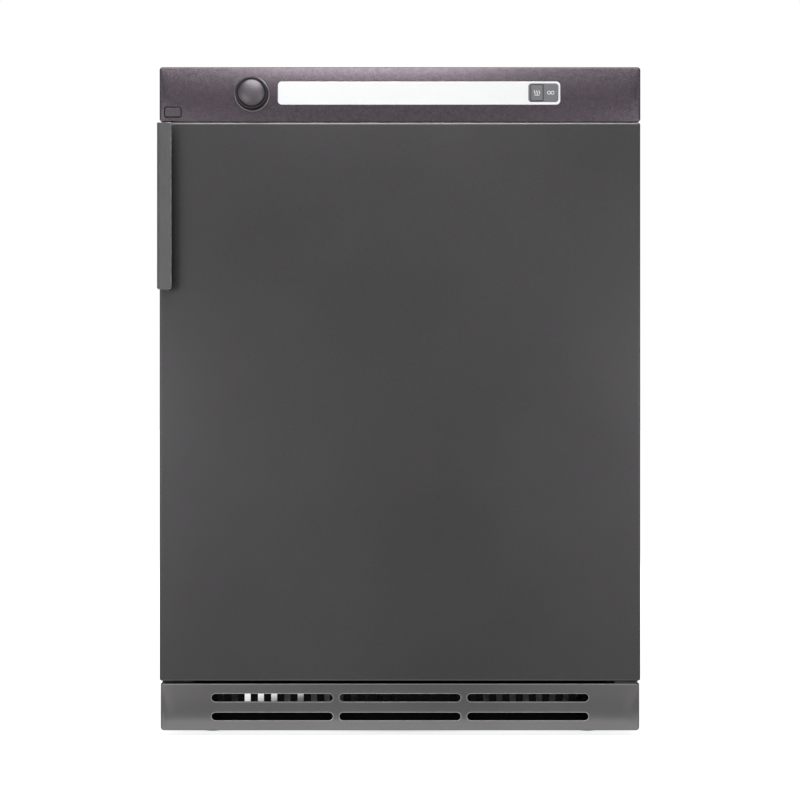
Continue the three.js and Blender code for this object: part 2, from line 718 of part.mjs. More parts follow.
function controlFascia() {
  const front = roundedBox(-halfWidth, halfWidth, fasciaBottom, cabinetHeight, fasciaCorner);
  const whole = along('x', fasciaSection(0), -halfWidth, halfWidth)
    .intersect(along('y', front, -fasciaCrown - 5, cabinetFront));
  const hollow = along('x', fasciaSection(moulding), -halfWidth + moulding, halfWidth - moulding);
  const through = (outline) => along('y', outline, -fasciaCrown - 5, fasciaCrown + moulding + 8);
  const windowHole = through(roundedBox(...grow(windowLimits, fit), windowRadius));
  const knobHole = through(disc(knobX, knobHeight, knobStemRadius + 1, smallSteps));
  const switchHole = through(roundedBox(...grow(switchLimits, fit), 2));
  const knobSeat = rod('y', knobRadius + 0.8, -fasciaCrown - 5, knobSeatDepth, [knobX, 0, knobHeight], largeSteps);
  const pinHole = rod('z', pinRadius + 1, fasciaBottom - 1, fasciaBottom + moulding + 1,
    [hingeX, hingeDepth, 0], smallSteps);
  const notch = block(hingeX - 25, halfWidth - moulding, cabinetFront - fit - 2.2, cabinetFront,
    fasciaBottom - 1, fasciaBottom + moulding + 1);
  return whole.subtract(unite(hollow, windowHole, knobHole, switchHole, knobSeat, pinHole, notch));
}

// Box limits [left, right, bottom, top] moved outwards by a distance.
function grow([x0, x1, z0, z1], distance) {
  return [x0 - distance, x1 + distance, z0 - distance, z1 + distance];
}

// White strip that fills the fascia's opening, with a lip behind it and a hole for the two keys.
function displayWindow() {
  const strip = along('y', roundedBox(...windowLimits, windowRadius), windowFront, fasciaInside + fit + 2);
  const lip = along('y', roundedBox(...grow(windowLimits, 3), windowRadius), fasciaInside + fit, fasciaInside + fit + 2);
  const keyHole = along('y', roundedBox(...grow(keypadLimits, fit), keyRadius), windowFront - 1, fasciaInside + 8);
  return strip.add(lip).subtract(keyHole);
}

function key(side) {
  const [x0, x1, z0, z1] = keypadLimits;
  const left = side < 0 ? x0 : keySplit + fit / 2;
  const right = side < 0 ? keySplit - fit / 2 : x1;
  const radii = side < 0 ? [keyRadius, 0.5, 0.5, keyRadius] : [0.5, keyRadius, keyRadius, 0.5];
  const front = windowFront - (side < 0 ? leftKeyProud : rightKeyProud);
  const cap = along('y', roundedBox(left, right, z0, z1, radii), front, keyBack);
  const flange = along('y', roundedBox(left - (side < 0 ? 2 : 0), right + (side < 0 ? 0 : 2), z0 - 2, z1 + 2, 1),
    fasciaInside + 2 + 2 * fit, keyBack);
  return cap.add(flange);
}

function selectorKnob() {
  const back = knobSeatDepth - fit;
  const front = -knobProud;
  return turned('y', [
    [knobBore, boardDepth - 4],
    [knobBore, knobFloor],
    [buttonRadius + 0.5, knobFloor],
    [buttonRadius + 0.5, front],
    [knobRadius - 2.5, front],
    [knobRadius - 1, front + 1.5],
    [knobRadius, back - 3],
    [knobRadius, back],
    [knobStemRadius, back],
    [knobStemRadius, boardDepth - 4],
  ], knobSteps);
}

function startButton() {
  const front = -knobProud - buttonProud;
  return turned('y', [
    [0, buttonEnd],
    [knobBore - runningClearance, buttonEnd],
    [knobBore - runningClearance, -knobProud + 4],
    [buttonRadius, -knobProud + 4],
    [buttonRadius, front + 3.2],
    [buttonRadius - 1.2, front + 1.6],
    [buttonRadius * 0.6, front + 0.5],
    [0, front],
  ], knobSteps);
}

function powerSwitch() {
  const cap = along('y', roundedBox(...switchLimits, 1.7), -switchProud, keyBack);
  const flange = along('y', roundedBox(...grow(switchLimits, 2), 1), fasciaInside + fit, keyBack);
  return cap.add(flange);
}

// Circuit board on two rails, with the encoder behind the knob and a push switch behind each key.
function controlBoard() {
  const board = along('y', roundedBox(-boardHalf, boardHalf, fasciaBottom + 9, cabinetHeight - 9, 2),
    boardDepth, boardDepth + 1.6);
  const encoder = along('y', roundedBox(knobX - 8, knobX + 8, knobHeight - 8, knobHeight + 8, 1),
    boardDepth - encoderHeight, boardDepth + 0.5);
  const [x0, x1, z0, z1] = keypadLimits;
  const middle = (z0 + z1) / 2;
  const switches = [(x0 + keySplit) / 2, (keySplit + x1) / 2].map((x) =>
    along('y', roundedBox(x - 3, x + 3, middle - 3, middle + 3, 0), boardDepth - 2, boardDepth + 0.5));
  const posts = [-boardHalf + 12, 0, boardHalf - 12].map((x) =>
    rod('y', 4, boardDepth + 1, cabinetFront - fit, [x, 0, cabinetHeight - 18], 8));
  return unite(board, encoder, ...switches, ...posts);
}

function buildControls() {
  const controls = subAssembly();
  piece(controls, 'control_fascia', controlFascia(), purpleGreyMoulding);
  piece(controls, 'display_window', displayWindow(), whiteGloss);
  piece(controls, 'control_board', controlBoard(), boardGreen);
  piece(controls, 'key_left', key(-1), keyGrey);
  piece(controls, 'key_right', key(1), keyGrey);
  piece(controls, 'power_switch', powerSwitch(), blackPlastic);
  piece(controls, 'selector_knob', selectorKnob(), blackPlastic, [knobX, 0, knobHeight]);
  piece(controls, 'start_button', startButton(), stainless, [knobX, 0, knobHeight]);
}

// ---- Drum, turned about its own axis at the origin and placed at the drum's height ----
function drumShell() {
  const inner = lipRadius - drumSheet;
  return turned('y', [
    [inner, lipStart], [lipRadius, lipStart], [lipRadius, drumFront],
    [drumRadius - 8, drumFront], [drumRadius, drumFront + 8], [drumRadius, drumEnd],
    [drumRadius - drumSheet, drumEnd], [drumRadius - drumSheet, drumFront + 8.8],
    [drumRadius - 8.8, drumFront + drumSheet], [inner, drumFront + drumSheet],
  ], drumSteps);
}

// Dished back, stepped out to a flat rim where the felt runs, with rings of air holes.
function drumBack() {
  const rim = drumRadius - drumSheet - fit;
  const web = drumEnd - backDish;
  const sheet = drumSheet - 0.2;
  const slope = 8;
  let back = turned('y', [
    [0, web], [webRadius, web], [webRadius + slope, drumEnd - sheet], [rim, drumEnd - sheet], [rim, drumEnd],
    [webRadius + slope - 1, drumEnd], [webRadius - 1, web + sheet], [0, web + sheet],
  ], drumSteps);
  for (const [radius, count] of holeRings) {
    for (let i = 0; i < count; i += 1) {
      const angle = (2 * Math.PI * (i + 0.5)) / count;
      const hole = disc(radius * Math.cos(angle), radius * Math.sin(angle), airHoleRadius, 6);
      back = back.subtract(along('y', hole, web - 1, web + sheet + 1));
    }
  }
  return back;
}

// Hollow-backed rib, drawn at the bottom of the drum and turned to its place.
function drumLifter() {
  const base = (drumRadius - drumSheet) * Math.cos(Math.PI / drumSteps) - fit;
  const halfAngle = THREE.MathUtils.radToDeg(lifterBase / 2 / base);
  const tip = base - lifterHeight + lifterTip;
  const outline = [
    ...arc(0, 0, base, 270 - halfAngle, 270 + halfAngle, 4),
    ...arc(0, -tip, lifterTip, 10, 170, 6),
  ];
  const rib = along('y', outline, drumFront + drumSheet + fit + 8, drumEnd - backDish - fit);
  const ramp = along('x', polygon(
    [drumFront, -base + 12], [drumFront, 0], [drumFront + 60, 0], [drumFront + 60, -tip + lifterTip + 1],
    [drumFront + 34, -tip + lifterTip + 1]), -lifterBase, lifterBase);
  return rib.subtract(ramp);
}

function drumShaft() {
  const front = drumEnd - backDish + drumSheet - 0.2 + fit;
  const hub = turned('y', [
    [0, front], [52, front], [52, front + 4], [22, front + 7], [shaftRadius, front + 7],
    [shaftRadius, bearingBack - 2], [0, bearingBack - 2],
  ]);
  const arms = [60, 180, 300].map((angle) => {
    const bearing = THREE.MathUtils.degToRad(angle - 90);
    const dir = [Math.cos(bearing), Math.sin(bearing)];
    const side = [-dir[1] * 12, dir[0] * 12];
    return along('y', polygon(
      [30 * dir[0] + side[0], 30 * dir[1] + side[1]], [30 * dir[0] - side[0], 30 * dir[1] - side[1]],
      [armReach * dir[0] - side[0] * 0.7, armReach * dir[1] - side[1] * 0.7],
      [armReach * dir[0] + side[0] * 0.7, armReach * dir[1] + side[1] * 0.7]), front, front + 3.5);
  });
  return unite(hub, ...arms);
}

function buildDrum() {
  const drum = subAssembly([0, 0, drumHeight]);
  piece(drum, 'drum_shell', drumShell(), stainless);
  piece(drum, 'drum_back', drumBack(), stainless);
  [60, 180, 300].forEach((angle, i) => {
    const lifter = piece(drum, `drum_lifter_${i + 1}`, drumLifter(), greyPlastic);
    lifter.rotation.y = THREE.MathUtils.degToRad(angle);
  });
  piece(drum, 'drum_shaft', drumShaft(), zincSteel);

  const mounts = subAssembly([0, 0, drumHeight]);
  piece(mounts, 'bearing_housing', turned('y', [
    [shaftRadius + runningClearance, rearBulkheadDepth - 8], [bearingRadius, rearBulkheadDepth - 8],
    [bearingRadius, rearBulkheadDepth + skin + fit], [bearingRadius + 18, rearBulkheadDepth + skin + fit],
    [bearingRadius + 18, rearBulkheadDepth + skin + 4], [bearingRadius, rearBulkheadDepth + skin + 7],
    [bearingRadius, bearingBack], [shaftRadius + runningClearance, bearingBack],
  ]), zincSteel);
  piece(mounts, 'rear_felt_seal',
    ring('y', feltInner, feltOuter, drumEnd + fit, rearBulkheadDepth - fit, [0, 0, 0], largeSteps), felt);
  piece(mounts, 'front_felt_seal',
    ring('y', collarRadius + skin + fit, neckInside - fit, lipStart + 1, collarEnd - fit,
      [0, 0, 0], drumSteps), felt);
}

// ---- Front rollers that carry the drum's neck ----
function supportRoller() {
  const bore = rollerStud + runningClearance;
  return turned('y', [
    [bore, rollerStart], [rollerRadius - 1, rollerStart], [rollerRadius, rollerStart + 1.5],
    [rollerRadius, rollerEnd - 1.5], [rollerRadius - 1, rollerEnd], [bore, rollerEnd],
  ]);
}

function rollerBracket() {
  const from = cabinetFront + skin + fit;
  return turned('y', [
    [0, from], [18, from], [18, from + 3], [8, from + 6], [8, rollerStart - fit],
    [rollerStud, rollerStart - fit], [rollerStud, rollerEnd + 1], [0, rollerEnd + 1],
  ], smallSteps);
}

function buildRollers() {
  const reach = lipRadius + fit + rollerRadius;
  const angle = THREE.MathUtils.degToRad(rollerAngle);
  for (const [side, name] of [[-1, 'left'], [1, 'right']]) {
    const place = [side * reach * Math.sin(angle), 0, drumHeight - reach * Math.cos(angle)];
    piece(dryer, `support_roller_${name}`, supportRoller(), greyPlastic, place);
    piece(dryer, `roller_bracket_${name}`, rollerBracket(), zincSteel, place);
  }
}

// ---- Belt drive ----
// Points of a closed belt round pulleys [x, z, radius, turn]; turn is 1 where the belt wraps against the
// clock and -1 where it bends back. offset moves the path sideways, outwards of the loop when positive.
function beltPath(pulleys, offset, degreesPerStep) {
  const lines = pulleys.map(([x1, z1, r1, turn1], i) => {
    const [x2, z2, r2, turn2] = pulleys[(i + 1) % pulleys.length];
    const distance = Math.hypot(x2 - x1, z2 - z1);
    const bearing = Math.atan2(z2 - z1, x2 - x1);
    const rise = turn2 * r2 + offset - (turn1 * r1 + offset);
    return bearing - Math.asin(rise / distance);
  });
  return pulleys.flatMap(([x, z, r, turn], i) => {
    const before = lines[(i + pulleys.length - 1) % pulleys.length];
    const after = lines[i];
    const full = 2 * Math.PI;
    const sweep = ((((after - before) * turn) % full) + full) % full;
    const start = THREE.MathUtils.radToDeg(before) - 90 * turn;
    const steps = Math.max(2, Math.ceil(THREE.MathUtils.radToDeg(sweep) / degreesPerStep));
    return arc(x, z, r + turn * offset, start, start + turn * THREE.MathUtils.radToDeg(sweep), steps);
  });
}

function driveBelt() {
  const facet = Math.cos(THREE.MathUtils.degToRad(beltStep / 2));
  const middle = (radius) => (radius + fit) / facet + beltThickness / 2;
  const pulleys = [
    [0, drumHeight, middle(drumRadius), 1],
    [motorX, motorHeight, middle(pulleyRadius), 1],
    [idlerX, idlerHeight, middle(idlerRadius), -1],
  ];
  const outside = beltPath(pulleys, beltThickness / 2, beltStep);
  const inside = beltPath(pulleys, -beltThickness / 2, beltStep);
  return along('y', outside, beltStart, beltStart + beltWidth)
    .subtract(along('y', inside, beltStart - 1, beltStart + beltWidth + 1));
}

function rotorShaft() {
  const cheek = pulleyRadius + 3;
  const from = beltStart - 2;
  const to = beltStart + beltWidth + 2;
  return turned('y', [
    [0, blowerStart - 4], [rotorRadius, blowerStart - 4], [rotorRadius, from], [cheek, from],
    [cheek, from + 1.4], [pulleyRadius, from + 1.4], [pulleyRadius, to - 1.4], [cheek, to - 1.4],
    [cheek, to], [rotorRadius, to], [rotorRadius, to + 4], [0, to + 4],
  ], smallSteps);
}

function motorBody() {
  const bore = rotorRadius + runningClearance;
  return turned('y', [
    [bore, motorStart - 6], [motorBoss, motorStart - 6], [motorBoss, motorStart],
    [motorRadius - 8, motorStart + 2], [motorRadius, motorStart + 10], [motorRadius, motorEnd - 10],
    [motorRadius - 8, motorEnd - 2], [motorBoss, motorEnd], [motorBoss, motorEnd + 5], [bore, motorEnd + 5],
  ], mediumSteps);
}

// Two cheeks that hold the motor's end bosses, on a foot plate; the rear one carries the idler's stud.
function motorCradle() {
  const foot = basePanBottom + skin + fit;
  const floor = block(motorX - 62, motorX + 66, motorStart - 5, motorEnd + 4, foot, foot + 2);
  const cheek = (from) => along('y', [
    ...polygon([motorX - 55, foot], [motorX + 60, foot]),
    ...arc(motorX, motorHeight, motorBoss + 8, 0, 180, 8),
  ], from, from + 3, [disc(motorX, motorHeight, motorBoss + fit)]);
  const ear = along('y', polygon(
    [motorX + 58, foot], [motorX + 66, foot], [pivotX + 8, pivotHeight + 2], [pivotX - 2, pivotHeight + 8],
    [motorX + 22, motorHeight + 4], [motorX + 40, foot + 30]), motorEnd + 1, motorEnd + 4);
  const stud = rod('y', studRadius, motorEnd + 2, idlerArmDepth + 5, [pivotX, 0, pivotHeight], smallSteps);
  return unite(floor, cheek(motorStart - 5), cheek(motorEnd + 1), ear, stud);
}

// Link from its bore on the stud to the pin of the idler pulley.
function idlerArm() {
  const angle = THREE.MathUtils.radToDeg(Math.atan2(idlerHeight - pivotHeight, idlerX - pivotX));
  const link = along('y', [
    ...arc(pivotX, pivotHeight, 9, angle + 90, angle + 270, 8),
    ...arc(idlerX, idlerHeight, 7, angle - 90, angle + 90, 8),
  ], idlerArmDepth, idlerArmDepth + 3, [disc(pivotX, pivotHeight, studRadius + runningClearance, smallSteps)]);
  return link.add(rod('y', studRadius, beltStart - 3, idlerArmDepth + 1, [idlerX, 0, idlerHeight], smallSteps));
}

function idlerPulley() {
  const bore = studRadius + runningClearance;
  const from = beltStart - 2;
  const to = beltStart + beltWidth + 2;
  return turned('y', [
    [bore, from], [idlerRadius, from], [idlerRadius, to], [bore, to],
  ]);
}

function buildDrive() {
  const drive = subAssembly();
  piece(drive, 'drive_belt', driveBelt(), rubber);
  piece(drive, 'motor_cradle', motorCradle(), zincSteel);
  piece(drive, 'idler_arm', idlerArm(), zincSteel);
  piece(drive, 'idler_pulley', idlerPulley(), greyPlastic, [idlerX, 0, idlerHeight]);
  piece(drive, 'motor_body', motorBody(), zincSteel, [motorX, 0, motorHeight]);
  piece(drive, 'rotor_shaft', rotorShaft(), zincSteel, [motorX, 0, motorHeight]);
  piece(drive, 'blower_wheel', blowerWheel(), greyPlastic, [motorX, 0, motorHeight]);
}

// ---- Air path ----
// Forward-curved wheel: blades between a back plate on the hub and a front ring.
function blowerWheel() {
  const end = blowerStart + blowerDepth;
  const bore = rotorRadius + fit;
  const plate = turned('y', [
    [bore, end - 22], [rotorRadius + 6, end - 22], [rotorRadius + 6, end - 2.5], [blowerRadius, end - 2.5],
    [blowerRadius, end], [bore, end],
  ], largeSteps);
  const rim = ring('y', blowerRadius - 5, blowerRadius, blowerStart, blowerStart + 2.5, [0, 0, 0], largeSteps);
  const bladeRadius = 14;
  const middle = blowerRadius - 9;
  const parts = [plate, rim];
  for (let i = 0; i < bladeCount; i += 1) {
    const turn = (360 * i) / bladeCount;
    const place = THREE.MathUtils.degToRad(turn);
    const cx = middle * Math.cos(place) - bladeRadius * Math.sin(place);
    const cz = middle * Math.sin(place) + bladeRadius * Math.cos(place);
    const outline = [
      ...arc(cx, cz, bladeRadius + 0.8, turn - 125, turn - 60, 2),
      ...arc(cx, cz, bladeRadius - 0.8, turn - 60, turn - 125, 2),
    ];
    parts.push(along('y', outline, blowerStart + 1, end - 1));
  }
  const sleeve = ring('y', blowerRadius, blowerRadius + 40, blowerStart - 5, end + 5, [0, 0, 0], largeSteps);
  return unite(...parts).subtract(sleeve);
}

// Scroll round the wheel, widening clockwise from its tongue to the outlet at the lower left.
function scrollOutline(inset, mouthX) {
  const points = [];
  for (let i = 0; i <= scrollSteps; i += 1) {
    const turn = i / scrollSteps;
    const angle = THREE.MathUtils.degToRad(200 - 290 * turn);
    const radius = scrollInner + (scrollOuter - scrollInner) * turn - inset;
    points.push([motorX + radius * Math.cos(angle), motorHeight + radius * Math.sin(angle)]);
  }
  const bottom = motorHeight - scrollOuter + inset;
  return polygon(...points, [mouthX, bottom], [mouthX, mouthTop - inset]);
}

function blowerHousing() {
  const from = blowerStart - 6;
  const to = blowerStart + blowerDepth + 5;
  const centre = [motorX, 0, motorHeight];
  return along('y', scrollOutline(0, mouthEdge), from, to)
    .subtract(along('y', scrollOutline(moulding, mouthEdge - 5), from + moulding, to - moulding))
    .subtract(rod('y', inletRadius, from - 1, from + moulding + 1, centre))
    .subtract(rod('y', rotorRadius + 3, to - moulding - 1, to + 1, centre));
}

// Elbow beside the scroll's mouth, then a straight pipe through the rear panel.
function exhaustDuct() {
  const from = blowerStart - 6;
  const elbowEnd = blowerStart + blowerDepth + 8;
  const left = spigotX - spigotRadius - 2;
  const right = mouthEdge - fit;
  const low = motorHeight - scrollOuter;
  const high = spigotHeight + spigotRadius + 2;
  const centre = [spigotX, 0, spigotHeight];
  const end = cabinetDepth + spigotProud;
  const inner = spigotRadius - moulding;
  const elbow = along('y', roundedBox(left, right, low, high, [18, 2, 18, 30], 5), from, elbowEnd);
  const hollow = along('y', roundedBox(left + moulding, right - moulding, low + moulding, high - moulding,
    [16, 0, 16, 27], 5), from + moulding, elbowEnd - moulding);
  const mouth = block(right - moulding - 1, right + 1, from + moulding, elbowEnd - 8,
    low + moulding, mouthTop - moulding);
  const pipe = turned('y', [
    [0, elbowEnd - 1], [spigotRadius, elbowEnd - 1], [spigotRadius, end], [0, end],
  ], knobSteps, centre);
  const bead = ring('y', spigotRadius - 1, spigotRadius + 2, end - 10, end - 6, centre, knobSteps);
  const bore = rod('y', inner, elbowEnd - moulding - 1, end + 1, centre, knobSteps);
  return unite(elbow, pipe, bead).subtract(unite(hollow, mouth, bore));
}

function ductOutline(inset) {
  const half = filterHalfWidth + filterPlay + moulding - inset;
  const low = drumHeight - collarRadius - filterHeight - ductFloor + inset;
  return [
    ...polygon([-half, drumHeight - 60]),
    ...arc(-half + 20, low + 20, 20, 180, 255, 4),
    ...arc(motorX, motorHeight, ductSwell - inset, 257, 405, 10),
    ...polygon([half, drumHeight - collarRadius - 25], [half, drumHeight - 60]),
  ];
}

// Flat duct behind the bulkhead: the filter drops in from the collar, the air leaves to the blower.
function filterDuct() {
  const from = cabinetFront + skin + fit;
  const centre = [motorX, 0, motorHeight];
  const clearOfCollar = rod('y', collarRadius + skin + fit, from - 1, ductBack + 1, [0, 0, drumHeight], drumSteps);
  const outlet = ring('y', inletRadius, inletRadius + moulding, ductBack - 1, blowerStart - 6 - fit, centre);
  const bore = rod('y', inletRadius, ductBack - moulding - 1, ductBack + 1, centre);
  return along('y', ductOutline(0), from, ductBack)
    .subtract(along('y', ductOutline(moulding), from + moulding, ductBack - moulding))
    .subtract(clearOfCollar)
    .add(outlet)
    .subtract(bore);
}

// Frame with its top curved to the collar, ribs, a fine screen and a grip.
function lintFilter() {
  const from = filterStart;
  const to = filterStart + filterThickness;
  const low = drumHeight - collarRadius - filterHeight;
  const outlineAt = (inset) => {
    const half = filterHalfWidth - inset;
    const radius = collarRadius - fit + inset;
    const angle = THREE.MathUtils.radToDeg(Math.asin(half / radius));
    return [
      ...arc(0, drumHeight, radius, 270 + angle, 270 - angle, 10),
      ...roundedBox(-half, half, low + inset, low + inset + 12, [6, 6, 0, 0]).slice(0, 8),
    ];
  };
  const frame = along('y', outlineAt(0), from, to).subtract(along('y', outlineAt(10), from - 1, to + 1));
  const screen = along('y', outlineAt(9), (from + to) / 2 - 0.5, (from + to) / 2 + 0.5);
  const ribs = [-52, 0, 52].map((x) =>
    block(x - 2, x + 2, from + 2, to - 2, low + 5, drumHeight - collarRadius - 2));
  const grip = along('y', roundedBox(-34, 34, drumHeight - collarRadius - 6, drumHeight - collarRadius + 13, 5),
    from + 4, from + 9);
  return unite(frame, screen, ...ribs, grip);
}

// Sheet frame in the hot-air tray, with two combs that carry the element's runs.
function heaterFrame() {
  const from = rearBulkheadDepth + skin + fit;
  const [x0, x1, z0, z1] = heaterLimits;
  const shell = along('y', roundedBox(x0, x1, z0, z1, 3), from, from + heaterDepth,
    [roundedBox(x0 + skin, x1 - skin, z0 + skin, z1 - skin, 1.5)]);
  const combs = [x0 + 60, x1 - 60].map((x) =>
    block(x - 1, x + 1, from + 2, from + heaterDepth - 2, z0 + skin / 2, z1 - skin / 2));
  let frame = unite(shell, ...combs);
  for (let run = 0; run < heaterRuns; run += 1) {
    const at = [0, from + heaterDepth / 2, z0 + heaterFirst + run * heaterPitch];
    const end = run === 0 || run === heaterRuns - 1 ? x0 - 1 : x0 + 20;
    frame = frame.subtract(rod('x', elementRadius + fit + 0.3, end, x1 - 20, at, 6));
  }
  return frame;
}

// Tube of even radius along a route drawn in width and height at one depth.
function flatTube(route, radius, depth, sides) {
  const corners = [];
  const faces = [];
  route.forEach((point, i) => {
    const before = route[Math.max(i - 1, 0)];
    const after = route[Math.min(i + 1, route.length - 1)];
    const across = after.clone().sub(before).normalize();
    for (let k = 0; k < sides; k += 1) {
      const angle = (2 * Math.PI * k) / sides;
      const reach = radius * Math.cos(angle);
      corners.push(point.x - across.y * reach, depth + radius * Math.sin(angle), point.y + across.x * reach);
    }
  });
  for (let i = 0; i < route.length - 1; i += 1) {
    for (let k = 0; k < sides; k += 1) {
      const [a, b] = [i * sides + k, i * sides + ((k + 1) % sides)];
      faces.push(a, b, a + sides, b, b + sides, a + sides);
    }
  }
  const last = (route.length - 1) * sides;
  for (let k = 1; k < sides - 1; k += 1) {
    faces.push(0, k + 1, k, last, last + k, last + k + 1);
  }
  const geometry = new THREE.BufferGeometry();
  geometry.setAttribute('position', new THREE.Float32BufferAttribute(corners, 3));
  geometry.setIndex(faces);
  return solidOf(geometry);
}

// Element bent to and fro across the frame, with both ends out on the left.
function heaterElement() {
  const [x0, x1, z0] = heaterLimits;
  const heightOf = (run) => z0 + heaterFirst + run * heaterPitch;
  const bendLeft = x0 + 24;
  const bendRight = x1 - 24;
  const route = [new THREE.Vector2(x0 - 12, heightOf(0))];
  for (let run = 0; run < heaterRuns - 1; run += 1) {
    const height = heightOf(run) + heaterPitch / 2;
    const bend = run % 2 === 0
      ? arc(bendRight, height, heaterPitch / 2, -90, 90, 6)
      : arc(bendLeft, height, heaterPitch / 2, 270, 90, 6);
    route.push(...bend);
  }
  route.push(new THREE.Vector2(x0 - 12, heightOf(heaterRuns - 1)));
  const depth = rearBulkheadDepth + skin + fit + heaterDepth / 2;
  return flatTube(route, elementRadius, depth, 6);
}

function buildAirPath() {
  const air = subAssembly();
  piece(air, 'blower_housing', blowerHousing(), greyPlastic);
  piece(air, 'exhaust_duct', exhaustDuct(), blackPlastic);
  piece(air, 'filter_duct', filterDuct(), greyPlastic);
  piece(air, 'lint_filter', lintFilter(), greyPlastic);
  piece(air, 'heater_frame', heaterFrame(), zincSteel);
  piece(air, 'heater_element', heaterElement(), stainless);
}


buildCasing();
buildFeet();
buildDoor();
buildHingesAndCatch();
buildControls();
buildDrum();
buildRollers();
buildDrive();
buildAirPath();

export default dryer;
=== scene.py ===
"""Looks of a vented, front-loading tumble dryer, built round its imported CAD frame.

Lengths are millimetres, apart from the studio's, which are metres. Points are (x, depth, z): x across, seen
from the front, depth counted back from the door's face and z up from the floor. They become metres in the
frame when a surface is made. Every new piece is a surface worked out with numpy; its formula stands in the
docstring.
"""
import logging
import math
from collections.abc import Callable, Sequence
from dataclasses import dataclass
from enum import Enum

import bmesh
import bpy
import numpy as np
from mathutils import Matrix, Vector
from mathutils.geometry import delaunay_2d_cdt


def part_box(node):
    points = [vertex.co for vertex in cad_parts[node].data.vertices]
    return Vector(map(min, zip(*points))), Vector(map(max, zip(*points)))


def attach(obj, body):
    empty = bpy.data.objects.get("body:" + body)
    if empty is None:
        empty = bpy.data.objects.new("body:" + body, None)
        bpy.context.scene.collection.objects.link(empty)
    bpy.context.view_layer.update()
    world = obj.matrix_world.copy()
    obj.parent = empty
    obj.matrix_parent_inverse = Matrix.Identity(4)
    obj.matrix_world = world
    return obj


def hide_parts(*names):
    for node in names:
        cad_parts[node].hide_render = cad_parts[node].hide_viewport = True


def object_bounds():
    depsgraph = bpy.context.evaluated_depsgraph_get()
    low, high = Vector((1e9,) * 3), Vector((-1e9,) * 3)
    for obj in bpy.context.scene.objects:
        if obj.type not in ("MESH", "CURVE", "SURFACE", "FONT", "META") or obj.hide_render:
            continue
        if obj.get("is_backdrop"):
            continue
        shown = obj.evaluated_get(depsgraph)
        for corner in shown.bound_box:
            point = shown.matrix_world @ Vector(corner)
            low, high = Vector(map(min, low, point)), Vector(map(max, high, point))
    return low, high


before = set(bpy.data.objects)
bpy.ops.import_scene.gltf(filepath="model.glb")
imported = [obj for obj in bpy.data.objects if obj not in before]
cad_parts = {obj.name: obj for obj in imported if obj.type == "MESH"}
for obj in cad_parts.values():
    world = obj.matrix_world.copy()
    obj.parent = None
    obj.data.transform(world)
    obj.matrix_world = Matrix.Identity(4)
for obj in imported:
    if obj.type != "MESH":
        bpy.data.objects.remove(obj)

log = logging.getLogger("dryer")

Array = np.ndarray
Pair = tuple[float, float]
Point = tuple[float, float, float]
Limits = tuple[float, float, float, float]
Outline = Callable[[float], Array]
Profile = Sequence[tuple[float, ...]]
Socket = bpy.types.NodeSocket

MM = 0.001
FACE_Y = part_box("door_outer_panel")[0].y
SMOOTH = math.radians(32)  # edges above this stay sharp
FLAT = math.radians(0.6)  # CAD faces that meet at less are one face
BEVELLED = math.radians(35)  # edges above this are bevelled
WELD = 2e-6  # corners closer than this, in metres, are one
SLIVER = 1e-6  # shorter edges, in metres, are dissolved
SUPPORT = 0.8  # from a round to the ring that keeps the face beside it flat
RIGHT = math.pi / 2
FULL = 2 * math.pi
WHITE = (1.0, 1.0, 1.0, 1.0)


# ---------------------------------------------------------------------------------------------
# Surfaces
# ---------------------------------------------------------------------------------------------
@dataclass
class Surface:
    """Points (x, depth, z) in millimetres, with faces that index them."""

    points: Array
    faces: list

    def __add__(self, other: "Surface") -> "Surface":
        """Returns both surfaces as one."""
        shift = len(self.points)
        moved = [tuple(i + shift for i in face) for face in other.faces]
        return Surface(np.vstack([self.points, other.points]), self.faces + moved)


def quarter(radius: float, steps: int = 6) -> list[Pair]:
    """Quarter round from a face into its side: inset r(1 - sin a), depth r(1 - cos a), a from 0 to 90 degrees.

    Args:
        radius: radius of the round.
        steps: segments along it.

    Returns:
        Pairs of inset and depth, the first on the face, the last on the side.
    """
    a = np.linspace(0.0, RIGHT, steps + 1)
    return list(zip(radius * (1 - np.sin(a)), radius * (1 - np.cos(a))))


def rounded(limits: Limits, radius: float | Sequence[float], steps: int = 8) -> Outline:
    """Rectangle with round corners as a function of its inset: corner centre plus (r - inset)(cos a, sin a).

    Args:
        limits: left, right, bottom and top.
        radius: one radius, or four from the lower left against the clock.
        steps: segments of each corner.

    Returns:
        A function from an inset to an (N, 2) outline with the same number of points at every inset.
    """
    x0, x1, z0, z1 = limits
    r = np.maximum(np.broadcast_to(np.asarray(radius, float), (4,)), 1e-3)
    signs = np.array([[1, 1], [-1, 1], [-1, -1], [1, -1]], float)
    centres = np.array([[x0, z0], [x1, z0], [x1, z1], [x0, z1]]) + signs * r[:, None]
    a = np.array([2, 3, 0, 1])[:, None] * RIGHT + np.linspace(0.0, RIGHT, steps + 1)[None]

    def at(inset: float) -> Array:
        """Returns the outline moved inwards; an inset beyond a corner's radius moves the corner itself."""
        reach = np.maximum(r - inset, 1e-3)[:, None]
        slip = np.minimum(r - inset, 0.0)[:, None]
        px = centres[:, :1] + reach * np.cos(a) - signs[:, :1] * slip
        pz = centres[:, 1:] + reach * np.sin(a) - signs[:, 1:] * slip
        return np.stack([px, pz], -1).reshape(-1, 2)

    return at


def disc(x: float, z: float, radius: float, steps: int = 64) -> Outline:
    """Circle as a function of its inset: centre plus (radius - inset)(cos a, sin a)."""
    a = np.linspace(0.0, FULL, steps, endpoint=False)
    return lambda inset: np.stack([x + (radius - inset) * np.cos(a), z + (radius - inset) * np.sin(a)], -1)


